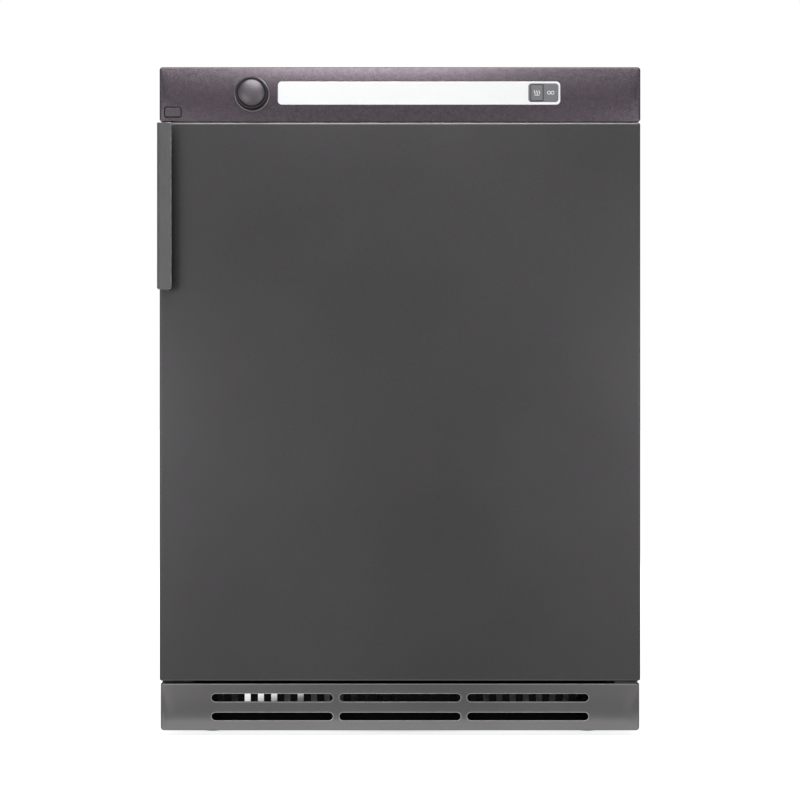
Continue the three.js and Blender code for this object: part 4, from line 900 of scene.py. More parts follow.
# painted shade: dark grey hinge brackets, so that the gap under the door reads as shaded
HINGE_SHADE = Finish("hinge_painted_shade", Slot.ZINC, "#37373a", "#2c2c2f", roughness=0.55, metallic=0.7,
                     specular=0.2, grain=600.0, grain_tone=0.15, tone=0.8, worn_and_highlight_colour="#77777a", wear_and_highlight=0.3, dust=0.03)
LOUVRE = Finish("louvre_moulding", Slot.BLACK, "#0d0d0e", "#080809", roughness=0.6, specular=0.05, grain=1300.0,
                grain_depth=0.03, grain_tone=0.2, worn_and_highlight_colour="#2c2c2e", wear_and_highlight=0.3, dust=0.03)
FOOT_BLACK = Finish("foot_rubber", Slot.BLACK, "#19191a", "#121213", roughness=0.7, grain=700.0,
                    grain_depth=0.08, grain_tone=0.25, worn_and_highlight_colour="#3d3d3e", wear_and_highlight=0.4, dust=0.25)
BUTTON = Finish("button_satin", Slot.BUTTON, "#454245", "#3d3a3d", roughness=0.36, metallic=0.9, grain=1400.0,
                grain_depth=0.01, grain_tone=0.1, tone=0.3, worn_and_highlight_colour="#e8e8e8", wear_and_highlight=0.2, dust=0.0,
                marks_centre=(-182.8, 0.0, 796.1))
RUBBER = Finish("seal_compound", Slot.SEAL, "#2a2a2b", "#222223", roughness=0.72, grain=1000.0,
                grain_depth=0.04, grain_tone=0.2, worn_and_highlight_colour="#4a4a4b", wear_and_highlight=0.3, dust=0.2)
# painted shade: near-black sheet and strip standing in for the shade behind the plinth's slots and in the gap
# under the door
SHADE_BLACK = Finish("painted_shade_sheet", Slot.SEAL, "#0b0b0b", "#060606", roughness=0.9, specular=0.05, grain=500.0,
             grain_depth=0.2, grain_tone=0.3, worn_and_highlight_colour="#1a1a1a", wear_and_highlight=0.1, dust=0.02)
FELT = Finish("wool_felt", Slot.FELT, "#b9b2a4", "#9f988a", roughness=0.95, specular=0.2, grain=1600.0,
              grain_depth=0.4, grain_tone=0.35, tone_scale=90.0, fleck="#d8d2c6", fleck_amount=0.6,
              worn_and_highlight_colour="#cfc9bc", wear_and_highlight=0.2, dust=0.0)
BOARD = Finish("board_lacquer", Slot.BOARD, "#2f6b45", "#28593a", roughness=0.4, coat=0.3, grain=1200.0,
               grain_tone=0.15, worn_and_highlight_colour="#6fa884", wear_and_highlight=0.2, dust=0.15)
ELEMENT = Finish("heater_sheath", Slot.ELEMENT, "#8d857c", "#6f665d", roughness=0.42, metallic=0.9, grain=900.0,
                 grain_tone=0.2, tone_scale=30.0, tone=1.0, worn_and_highlight_colour="#b5ada4", wear_and_highlight=0.3, dust=0.05)


# ---------------------------------------------------------------------------------------------
# Sub-assemblies
# ---------------------------------------------------------------------------------------------
def grown(limits: Limits, distance: float) -> Limits:
    """Returns limits moved outwards."""
    return tuple(v + s * distance for v, s in zip(limits, (-1, 1, -1, 1)))


def height_share(limits: Limits, z: Array) -> Array:
    """Returns t, from -1 at the lower edge of the limits to 1 at the upper."""
    return (2 * z - limits[2] - limits[3]) / (limits[3] - limits[2])


@dataclass
class Door:
    """Right-hung door: painted pan, upright handle, moulded liner with its plug, ring seal, latch and bushes."""

    limits: Limits = (-297.5, 297.5, 70.6, 761.2)
    pan_depth: float = 30.0
    sheet: float = 1.5
    edge_radius: float = 2.5
    flange: float = 14.0
    bead_below: Pair = (1.35, 0.45)
    bead_ends: Pair = (14.0, 3.0)
    liner_inset: float = 4.0
    liner_front: float = 30.3
    liner_back: float = 32.3
    drum_axis: float = 447.0
    plug_radius: float = 178.0
    plug_tip: float = 152.0
    plug_depth: float = 22.0
    plug_dip: float = 6.0
    crest_width: float = 22.5
    flank_width: float = 18.0
    flank_fall: float = 5.0
    seal_middle: float = 206.0
    seal_half: float = 6.0
    seal_limits: Pair = (32.6, 35.7)
    seal_power: float = 2.5
    soft: tuple[Soft, ...] = (
        Soft("latch_hook", BLACK, "door", 0.3),
        Soft("lower_hinge_bush", GREY, "door", 0.3),
        Soft("upper_hinge_bush", GREY, "door", 0.3),
    )

    def panel(self) -> None:
        """Makes the pan: a rounded front face, sides, a returned flange and the inside of its skin."""
        r, back = self.edge_radius, self.pan_depth
        rim = [(r + SUPPORT, 0.0), *quarter(r, 8), (0.0, r + SUPPORT), (0.0, back - 0.8), (0.25, back - 0.15),
               (0.8, back), (self.flange, back), (self.flange, back - self.sheet),
               (self.sheet, back - self.sheet), (self.sheet, self.sheet)]
        pan = Panel(rounded(self.limits, r, 6), rim)
        made("door_skin", pan.surface(), GRAPHITE, "door", "door_outer_panel")

    def bead(self) -> None:
        """Makes the light bead along the pan's upper edge, a painted highlight for the light that the rounded edge
        catches.
        """
        (x0, x1, _, top), (left, right), (low, high) = self.limits, self.bead_ends, self.bead_below
        outline = rounded((x0 + left, x1 - right, top - low, top - high), 0.3, 3)
        made("door_highlight_bead", Panel(outline, plate_rim(1.6, 0.25, 0.02, 2)).surface(), EDGE_HIGHLIGHT_PAINT, "door")

    def liner(self) -> None:
        """Makes the liner's sheet and its plug, turned from a profile that rises to a ring and dips inside it.

        Over t from 0 to 1 the crest is (tip - w (1 - cos(pi (1 - t))), dip + h sin(pi t / 2)), and the flank
        (tip + f sin(pi t / 2), top - g (1 - cos(pi t / 2))).
        """
        sheet, radius, tip = self.liner_back - self.liner_front, self.plug_radius, self.plug_tip
        hole = (disc(0.0, self.drum_axis, radius - 1.0, 128), hole_rim(sheet, 0.2, self.liner_front))
        outline = rounded(grown(self.limits, -self.liner_inset), 4.0)
        flat = Panel(outline, plate_rim(sheet, 0.5, self.liner_front), [hole]).surface()
        top = self.liner_back + self.plug_depth
        dip = top - self.plug_dip
        t = np.linspace(0.0, 1.0, 13)
        crest = zip(tip - self.crest_width * (1 - np.cos(math.pi * (1 - t))),
                    dip + self.plug_dip * np.sin(RIGHT * t))
        flank = zip(tip + self.flank_width * np.sin(RIGHT * t[1:]),
                    top - self.flank_fall * (1 - np.cos(RIGHT * t[1:])))
        outside = [(0.0, dip), (58.0, dip), (60.0, dip + 0.8), (64.0, dip + 0.8), (66.0, dip), *crest, *flank,
                   (radius - 2.0, self.liner_back + 3.0), (radius, self.liner_back + 0.6),
                   (radius + 1.5, self.liner_back + 0.1)]
        inner = [(radius - 4.0, self.liner_front), (radius - 8.0, top - 9.0), (tip, top - 3.0),
                 (tip - 45.0, dip - 2.0), (0.0, dip - 2.0)]
        plug = revolved([*outside, *inner], (0.0, self.drum_axis), steps=128)
        made("door_liner", flat + plug, GREY, "door", "door_inner_liner")

    def seal(self) -> None:
        """Makes the seal: a ring whose section is a flattened bulb, |u|^n + |v|^n = 1 with n = 2.5."""
        a = np.linspace(0.0, FULL, 25)
        u, v = (np.sign(s) * np.abs(s) ** (2 / self.seal_power) for s in (np.cos(a), np.sin(a)))
        low, high = self.seal_limits
        profile = list(zip(self.seal_middle + u * self.seal_half, (low + high) / 2 + v * (high - low) / 2))
        profile[-1] = profile[0]
        made("door_ring_seal", revolved(profile, (0.0, self.drum_axis), steps=144), RUBBER, "door", "door_seal")

    def build(self) -> None:
        """Builds the whole door."""
        self.panel()
        self.bead()
        Soft("door_handle", HANDLE, "door", 0.9, 4).build()
        self.liner()
        self.seal()
        for piece in self.soft:
            piece.build()


@dataclass
class Controls:
    """Crowned fascia with its white window, two keys, power switch, selector knob and start button."""

    limits: Limits = (-297.5, 297.5, 762.0, 830.0)
    crown: float = 2.0
    back: float = 35.7
    wall: float = 2.5
    corner: float = 4.0
    edge: float = 2.0
    film_inset: tuple[float, float, float] = (1.3, 0.1, 0.7)  # at the ends, below and above
    film_rise: float = 0.1
    film_sheet: float = 1.2
    play: float = 0.3
    window: Limits = (-151.1, 198.2, 783.1, 811.8)
    window_radius: float = 5.0
    window_front: float = -2.6
    window_depth: float = 8.4
    keypad: Limits = (159.1, 195.5, 786.6, 808.9)
    key_split: float = 177.0
    key_radius: float = 3.6
    key_back: float = 9.0
    left_front: float = -3.8
    right_front: float = -3.1
    island: Limits = (162.0, 176.6, 788.1, 807.4)
    island_radius: float = 1.3
    island_joint: tuple[Pair, Pair] = ((0.85, 2.1), (-0.3, 1.1))  # growth and radius, outside and inside
    switch: Limits = (-290.4, -271.2, 768.4, 779.2)
    switch_radius: float = 1.7
    switch_front: float = -0.25
    switch_play: float = 1.2
    switch_joint: tuple[Pair, Pair] = ((1.4, 3.0), (0.2, 1.9))  # growth and radius, outside and inside
    knob: Pair = (-182.8, 796.1)
    knob_radius: float = 20.0
    knob_front: float = -17.0
    knob_joint: float = 0.5
    dome_radius: float = 16.5
    dome_front: float = -22.0
    dome_sunk: float = 1.2
    symbol_height: float = 0.06

    def rise(self, x: Array, z: Array) -> Array:
        """Returns the crown's height: 2 mm (1 - t^2), t from -1 at the lower edge to 1 at the upper."""
        return self.crown * np.clip(1 - height_share(self.limits, z) ** 2, 0.0, 1.0)

    def openings(self, rim: Profile) -> list[tuple[Outline, Profile]]:
        """Lists the openings for the window, the switch and the knob, each with its play.

        Args:
            rim: rim of every opening.

        Returns:
            Pairs of outline and rim.
        """
        play = self.play
        return [(rounded(grown(self.window, play), self.window_radius + play), rim),
                (rounded(grown(self.switch, play + self.switch_play), 2.8 + play), rim),
                (disc(*self.knob, self.knob_radius + self.knob_joint + play, 72), rim)]

    def fascia(self) -> None:
        """Makes the crowned moulding as a shell with its openings, and the pearl film laid into its face."""
        through = [(-0.9, 0.0), *((-i, d) for i, d in quarter(0.4, 3)), (0.0, 0.9), (0.0, self.wall)]
        edge, back = self.edge, self.back
        rim = [(edge + SUPPORT, 0.0), *quarter(edge, 6), (0.0, edge + SUPPORT), (0.0, back - 0.6, 0.0),
               (0.2, back - 0.1, 0.0), (0.6, back, 0.0), (self.wall, back, 0.0), (self.wall, self.wall)]
        body = Panel(rounded(self.limits, self.corner), rim, self.openings(through), self.rise, (10.0, 4.0))
        made("fascia_shell", body.surface(), BEZEL, "root", "control_fascia")
        (x0, x1, z0, z1), (ends, below, above) = self.limits, self.film_inset
        film = Panel(rounded((x0 + ends, x1 - ends, z0 + below, z1 - above), self.corner - ends),
                     plate_rim(self.film_sheet, 0.5, -self.film_rise),
                     self.openings(hole_rim(self.film_sheet, 0.15, -self.film_rise)), self.rise, (6.0, 3.0))
        made("fascia_film", film.surface(), MOULDING, "root")

    def strip(self) -> None:
        """Makes the glossy window with the opening for its keys."""
        thick, front = self.window_depth, self.window_front
        hole = (rounded(grown(self.keypad, self.play), self.key_radius), hole_rim(thick, 0.3, front))
        panel = Panel(rounded(self.window, self.window_radius), plate_rim(thick, 0.5, front, 4), [hole])
        made("window_strip", panel.surface(), GLOSS_WHITE, "root", "display_window")

    def cap(self, limits: Limits, radii: Sequence[float], front: float, soften: float) -> Surface:
        """Makes a key's flat cap, rounded towards its sides.

        Args:
            limits: left, right, bottom and top.
            radii: of its four corners.
            front: depth of its face.
            soften: radius of its edges.

        Returns:
            The cap.
        """
        rim = plate_rim(self.key_back - front, soften, front, 5)
        return Panel(rounded(limits, radii), rim, (), None, (1.6, 1.6)).surface()

    def keys(self) -> None:
        """Makes the two keys, the left one with a raised island, and a plain symbol on each."""
        (x0, x1, z0, z1), gap, front, r = self.keypad, self.play / 2, self.right_front, self.key_radius
        left = self.cap((x0, self.key_split - gap, z0, z1), (r, 0.5, 0.5, r), front, 0.35)
        left = left + self.cap(self.island, (self.island_radius,) * 4, self.left_front, 0.6)
        right = self.cap((self.key_split + gap, x1, z0, z1), (0.5, r, r, 0.5), front, 0.35)
        outer, inner = (rounded(grown(self.island, g), radius) for g, radius in self.island_joint)
        rim = (0.6, 0.03, front - self.symbol_height)
        joint = Panel(outer, plate_rim(*rim), [(inner, hole_rim(*rim))])
        made("key_joint_left", joint.surface(), RING_BLACK, "key_left")
        made("key_cap_left", left, KEY, "key_left", "key_left")
        made("key_cap_right", right, KEY, "key_right", "key_right")
        middle = (z0 + z1) / 2
        heat = self.heat_symbol((self.island[0] + self.island[1]) / 2, middle)
        loops = self.loop_symbol((self.key_split + x1) / 2, middle)
        made("key_symbol_left", heat, SYMBOL, "key_left")
        made("key_symbol_right", loops, SYMBOL, "key_right")

    def ribbon(self, path: Array, width: float, front: float) -> Surface:
        """Makes a flat ribbon: each point of the path moved half the width to either side of its tangent.

        Args:
            path: (N, 2) points across and up.
            width: of the ribbon.
            front: depth of the face that it lies on.

        Returns:
            The ribbon as a closed surface.
        """
        tangent = np.gradient(path, axis=0)
        tangent /= np.linalg.norm(tangent, axis=1, keepdims=True)
        normal = np.stack([-tangent[:, 1], tangent[:, 0]], -1) * width / 2
        loop = np.vstack([path + normal, (path - normal)[::-1]])
        return loft(np.array([np.stack([loop[:, 0], np.full(len(loop), d), loop[:, 1]], -1)
                              for d in (front - self.symbol_height, front + 0.1)]))

    def heat_symbol(self, x: float, z: float, width: float = 0.9) -> Surface:
        """Makes three rising waves, x = 0.5 sin(2 pi t), over a level bar.

        Args:
            x: middle of the symbol across.
            z: its middle above the floor.
            width: of its lines.

        Returns:
            The symbol.
        """
        t = np.linspace(0.0, 1.0, 17)
        bar = np.stack([np.linspace(x - 3.0, x + 3.0, 9), np.full(9, z - 3.0)], -1)
        whole = self.ribbon(bar, width, self.left_front)
        for step in (-2.9, 0.0, 2.9):
            wave = np.stack([x + step + 0.5 * np.sin(FULL * t), z - 1.6 + 4.4 * t], -1)
            whole = whole + self.ribbon(wave, width, self.left_front)
        return whole

    def loop_symbol(self, x: float, z: float, width: float = 0.75) -> Surface:
        """Makes two round loops side by side, each a circle of 1.9 mm radius.

        Args:
            x: middle of the symbol across.
            z: its middle above the floor.
            width: of its lines.

        Returns:
            The symbol.
        """
        t = np.linspace(0.05, FULL - 0.05, 33)
        left, right = (self.ribbon(np.stack([x + s * 2.2 + 1.9 * np.cos(t), z + 1.9 * np.sin(t)], -1), width,
                                   self.right_front) for s in (-1, 1))
        return left + right

    def power(self) -> None:
        """Makes the power switch's cap, crowned like the fascia, and the dark joint sunk round it."""
        back, steps = self.key_back, 4
        rim = plate_rim(back, 0.5, self.switch_front, steps)[:-steps - 1]
        cap = Panel(rounded(self.switch, self.switch_radius), [*rim, (0.0, back, 0.0), (1.0, back, 0.0)], (),
                    self.rise, (3.0, 2.0))
        made("power_cap", cap.surface(), SWITCH, "power_switch", "power_switch")
        outer, inner = (rounded(grown(self.switch, g), radius) for g, radius in self.switch_joint)
        sunk = -self.switch_front
        joint = Panel(outer, plate_rim(2.4, 0.1, sunk), [(inner, hole_rim(2.4, 0.05, sunk))], self.rise)
        made("power_joint", joint.surface(), RING_BLACK, "root")

    def selector(self) -> None:
        """Turns the selector's ring, its satin collar and the start button, whose dome is a quarter ellipse."""
        r, f, dome = self.knob_radius, self.knob_front, self.dome_radius
        a = np.linspace(0.0, RIGHT, 9)
        lip = zip(r - 1.6 + 1.6 * np.sin(a), f + 1.6 - 1.6 * np.cos(a))
        bore = dome + 0.5
        ring = [(bore, -4.0), (bore, f + 0.6), (bore + 0.3, f + 0.15), (bore + 0.9, f), *lip, (r + 0.1, -1.5),
                (r + 0.1, 0.0), (5.5, 0.1), (5.5, 9.0), (3.0, 9.0), (3.0, -4.0), (bore, -4.0)]
        turned = revolved(ring, self.knob, steps=128)
        made("selector_ring", turned, RING_BLACK, "selector_knob", "selector_knob")
        a = np.linspace(0.0, 1.5, 9)
        arc = zip(r + 0.5 + 1.5 * np.sin(a), -1.4 - 1.4 * np.cos(a))
        collar = [(r + 0.4, 3.0), (r + 0.4, -2.7), *arc, (r + 2.0, 3.0), (r + 0.4, 3.0)]
        made("selector_collar", revolved(collar, self.knob, steps=128), COLLAR, "root")
        a = np.linspace(RIGHT, 0.0, 25)
        base = f - self.dome_sunk
        round_top = zip(dome * np.sin(a), base - (base - self.dome_front) * np.cos(a))
        button = [(0.0, 5.0), (2.7, 5.0), (2.7, f + 4.0), (dome - 0.4, f + 4.0), (dome, f + 3.6), *round_top]
        made("start_dome", revolved(button, self.knob, steps=128), BUTTON, "start_button", "start_button")

    def build(self) -> None:
        """Builds the fascia and everything on it."""
        self.fascia()
        self.strip()
        self.keys()
        self.power()
        self.selector()
        Soft("control_board", BOARD, "root", 0.2, 1).build()


@dataclass
class Plinth:
    """One-piece plinth with two rows of three long slots, the louvre behind them, and a near-black sheet and
    strip, painted shade behind the slots and in the gap under the door.
    """

    limits: Limits = (-297.5, 297.5, 7.0, 66.0)
    front: float = 14.0
    back: float = 35.7
    wall: float = 2.5
    edge: float = 3.0
    slot_length: float = 150.8
    slot_height: float = 9.8
    bridge: float = 8.0
    rows: Pair = (13.0, 36.2)
    columns: int = 3
    crown: float = 1.6
    sweep: float = 2.0
    sweep_start: float = 0.45
    top_edge: float = 1.4
    lip: float = 0.7
    bead: float = 0.8
    bead_sheet: float = 0.8
    bead_height: float = 0.2
    corners: tuple[float, ...] = (4.0, 4.0, 1.2, 1.2)
    # near-black sheet behind the lower slots and strip in the gap under the door: painted shade
    shade_sheet: Limits = (-262.0, 262.0, 8.0, 34.4)
    shade_sheet_front: float = 38.9
    gap_shade: Limits = (-258.0, 258.0, 62.6, 69.8)
    gap_shade_front: float = 34.3

    def rise(self, x: Array, z: Array) -> Array:
        """The bow of the plinth's face: c (1 - t^2) - s u^2, t from -1 at its lower edge to 1 at its upper.

        Args:
            x: points across, which the bow doesn't depend on.
            z: points above the floor.

        Returns:
            The height. Near the lower edge the face turns under: u grows from 0 at t = -0.45 to 1 at t = -1.
        """
        t = height_share(self.limits, z)
        under = np.clip((-t - self.sweep_start) / (1 - self.sweep_start), 0.0, 1.0)
        return self.crown * np.clip(1 - t * t, 0.0, 1.0) - self.sweep * under ** 2

    def slots(self) -> list[tuple[Outline, Profile]]:
        """Lists the slots, row by row, with a soft lip round each.

        Returns:
            Pairs of outline and rim.
        """
        lip, length, height = self.lip, self.slot_length, self.slot_height
        rim = [(-lip - 0.5, self.front), *((-i, self.front + d) for i, d in quarter(lip, 5)),
               (0.0, self.front + lip + 0.4), (0.0, self.front + self.wall)]
        pitch = length + self.bridge
        left = -(self.columns * length + (self.columns - 1) * self.bridge) / 2
        places = [(left + i * pitch, self.limits[2] + row) for row in self.rows for i in range(self.columns)]
        return [(rounded((x, x + length, z, z + height), height / 2), rim) for x, z in places]

    def beads(self) -> None:
        """Makes the painted highlights: a raised light bead round each slot and one along the plinth's upper edge.
        """
        front = self.front - self.bead_height
        x0, x1, _, top = self.limits
        upper = rounded((x0 + self.edge, x1 - self.edge, top - 1.5, top - 0.55), 0.3, 3)
        whole = Panel(upper, plate_rim(1.2, 0.2, self.front - 0.1, 2), (), self.rise).surface()
        for slot, _ in self.slots():
            outer = [(i - self.bead, d) for i, d in plate_rim(self.bead_sheet, 0.25, front, 2)]
            inner = hole_rim(self.bead_sheet, 0.25, front, 2)
            whole = whole + Panel(slot, outer, [(slot, inner)], self.rise).surface()
        made("plinth_highlight_beads", whole, EDGE_HIGHLIGHT_PAINT, "root")

    def build(self) -> None:
        """Makes the plinth's shell and its beads, the near-black sheet and strip of painted shade, and softens the
        louvre.
        """
        f, r, back = self.front, self.top_edge, self.back
        rim = [(r + SUPPORT, f), *((i, f + d) for i, d in quarter(r, 8)), (0.0, f + r + 2.0),
               (0.0, back - 0.5, 0.0), (0.2, back, 0.0), (self.wall, back, 0.0), (self.wall, f + self.wall)]
        panel = Panel(rounded(self.limits, self.corners), rim, self.slots(), self.rise, (12.0, 3.0))
        made("plinth_shell", panel.surface(), PLINTH_LIT_PAINT, "root", "plinth_grille")
        Soft("air_louvre", LOUVRE, "root", 0.25).build()
        # painted shade: a near-black sheet behind the lower slots and a strip in the gap under the door
        shade_sheet = Panel(rounded(self.shade_sheet, 2.0), plate_rim(1.8, 0.5, self.shade_sheet_front))
        made("painted_shade_sheet", shade_sheet.surface(), SHADE_BLACK, "root")
        gap_shade = Panel(rounded(self.gap_shade, 1.0), plate_rim(1.6, 0.4, self.gap_shade_front))
        made("gap_painted_shade", gap_shade.surface(), SHADE_BLACK, "root")
        self.beads()


@dataclass
class Cabinet:
    """Painted side panels and top cover, zinc-coated base, bulkheads and rear panel with its pressed field."""

    half: float = 297.5
    depth: float = 585.0
    sheet: float = 1.5
    panel_low: float = 10.0
    panel_high: float = 809.7
    field_limits: Limits = (-215.0, 215.0, 200.0, 770.0)
    field_radius: float = 24.0
    field_depth: float = 8.0
    vent_left: float = -235.0
    vent_length: float = 150.0
    vent_low: float = 108.0
    vent_gap: float = 5.0
    vent_pitch: float = 11.0
    vent_rows: int = 6
    spigot: Pair = (45.0, 76.0)
    spigot_radius: float = 50.0
    side_screws: tuple[float, ...] = (40.0, 230.0, 420.0, 610.0, 795.0)
    side_screw_x: float = 287.0
    upper_screws: tuple[float, ...] = (-140.0, 0.0, 140.0)
    upper_screw_z: float = 797.0
    lower_screws: tuple[float, ...] = (-200.0, -60.0, 150.0)
    lower_screw_z: float = 30.0
    front: float = 36.0
    collar_radius: float = 195.0
    collar_start: float = 1.5
    collar_end: float = 90.0
    bead_radius: float = 1.9
    axis: float = 447.0
    edge_half: float = 279.2
    bulkhead_low: float = 62.3
    return_depth: float = 22.0
    slot_half: float = 112.4
    slot_depths: Pair = (61.6, 75.4)
    latch_hole: Limits = (-258.0, -242.0, 395.0, 439.0)
    painted: tuple[Soft, ...] = (
        Soft("left_side_panel", CASING, "root", 0.9, 4),
        Soft("right_side_panel", CASING, "root", 0.9, 4),
        Soft("top_cover", CASING, "root", 1.2, 4),
    )
    fittings: tuple[Soft, ...] = (
        Soft("base_pan", ZINC),
        Soft("rear_bulkhead", ZINC),
        Soft("upper_hinge_bracket", HINGE_SHADE, "root", 0.3),
        Soft("lower_hinge_bracket", HINGE_SHADE, "root", 0.3),
        Soft("latch_catch", BLACK, "root", 0.3),
    )

    def rear(self) -> None:
        """Makes the rear sheet, its pressed field as a tray of two sloping rims, the vents and the spigot hole."""
        f = self.depth - self.sheet
        through = hole_rim(self.sheet, 0.3, f)
        holes = [(disc(*self.spigot, self.spigot_radius + 1.0, 72), through),
                 (rounded(self.field_limits, self.field_radius), through)]
        for z in (self.vent_low + row * self.vent_pitch for row in range(self.vent_rows)):
            vent = (self.vent_left, self.vent_left + self.vent_length, z, z + self.vent_gap)
            holes.append((rounded(vent, self.vent_gap / 2, 5), through))
        sheet = Panel(rounded((-self.half, self.half, self.panel_low, self.panel_high), 2.0),
                      plate_rim(self.sheet, 0.4, f), holes).surface()
        low = self.depth - self.field_depth
        tray = [(11.0, low), (9.5, low + 0.2), (8.0, low + 1.0), (1.5, f - 0.6), (0.4, f), (-0.8, f),
                (-0.8, self.depth - 0.05), (0.6, self.depth - 0.1), (2.6, self.depth - 0.9), (8.8, low + 2.4),
                (10.0, low + 1.7), (11.5, low + 1.5)]
        pressed = Panel(rounded(self.field_limits, self.field_radius, 10), tray).surface()
        made("rear_sheet", sheet + pressed, ZINC, "root", "rear_panel")

    def screws(self) -> None:
        """Makes the rear panel's screws: a hexagonal head, low dome over a washer, round the edge."""
        places = [(x, z) for x in (-self.side_screw_x, self.side_screw_x) for z in self.side_screws]
        places += [(x, self.upper_screw_z) for x in self.upper_screws]
        places += [(x, self.lower_screw_z) for x in self.lower_screws]
        at = self.depth
        washer = [(0.0, at - 0.2), (4.6, at - 0.2), (4.6, at + 0.3), (4.2, at + 0.7), (0.0, at + 0.7)]
        hexagon = [(0.0, at + 0.5), (3.1, at + 0.5), (3.1, at + 1.9), (2.6, at + 2.3), (0.0, at + 2.4)]
        first, *others = [revolved(washer, place, steps=24) + revolved(hexagon, place, steps=6)
                          for place in places]
        made("rear_screws", sum(others, first), SATIN_METAL, "root")

    def bulkhead(self) -> None:
        """Makes the front bulkhead: a plate with the mouth and the latch hole, and its folded edges."""
        front, back = self.front, self.front + self.return_depth
        outer = rounded((-self.edge_half, self.edge_half, self.bulkhead_low, self.panel_high), 1.0)
        plate = Panel(outer, plate_rim(self.sheet, 0.3, front),
                      [(disc(0.0, self.axis, self.collar_radius + 1.0, 160), hole_rim(self.sheet, 0.2, front)),
                       (rounded(self.latch_hole, 3.0), hole_rim(self.sheet, 0.3, front))])
        start = front + 0.8
        fold = [(0.0, start), (0.0, back), (self.sheet, back), (self.sheet, start), (0.0, start)]
        whole = plate.surface() + plate.wall(outer, fold)
        made("front_bulkhead_sheet", whole, CASING, "root", "front_bulkhead")

    def face_drum(self, work: bmesh.types.BMesh) -> None:
        """Turns the collar's faces towards the drum's axis.

        Args:
            work: the collar's opened mesh.
        """
        centre, flat = Vector((0.0, 0.0, self.axis * MM)), Vector((1, 0, 1))
        if sum(f.normal.dot((f.calc_center_median() - centre) * flat) for f in work.faces) > 0:
            bmesh.ops.reverse_faces(work, faces=work.faces)

    def collar(self) -> None:
        """Makes the collar as a grid, point (a, k) at radius r(k) and depth d(k), from bead to rear edge.

        The quads where the filter drops in are left out. Its mouth is rolled outwards over the bead, and its
        wall is offset outwards by the sheet's thickness.
        """
        half = math.degrees(math.asin(self.slot_half / self.collar_radius))
        slot = np.linspace(-half, half, 31)
        a = np.radians(270.0 + np.concatenate([slot, np.linspace(half, 360.0 - half, 121)[1:-1]]))
        r, t = self.bead_radius, np.linspace(0.0, RIGHT, 7)
        radius = np.concatenate([self.collar_radius + r - r * np.sin(t), [self.collar_radius] * 4])[:, None]
        depth = np.concatenate([self.front - self.collar_start + r * (1 - np.cos(t)), self.slot_depths,
                                [self.collar_end - 0.4, self.collar_end]])[:, None]
        rings = np.stack([radius * np.cos(a), np.repeat(depth, len(a), 1), self.axis + radius * np.sin(a)], -1)
        skin = loft(rings, (False, False))
        first = len(t) * len(a)
        skin.faces = [f for f in skin.faces if not first <= f[0] < first + len(slot) - 1]
        piece = edited("loading_collar", meshed("loading_collar", skin), turn_out, self.face_drum)
        wall = piece.modifiers.new("sheet", "SOLIDIFY")
        wall.thickness = self.sheet * MM
        wall.offset = -1.0
        settle(piece, CASING, "root")

    def build(self) -> None:
        """Builds the cabinet."""
        for piece in self.painted:
            piece.build()
        self.rear()
        self.screws()
        self.bulkhead()
        self.collar()
        for piece in self.fittings:
            piece.build()


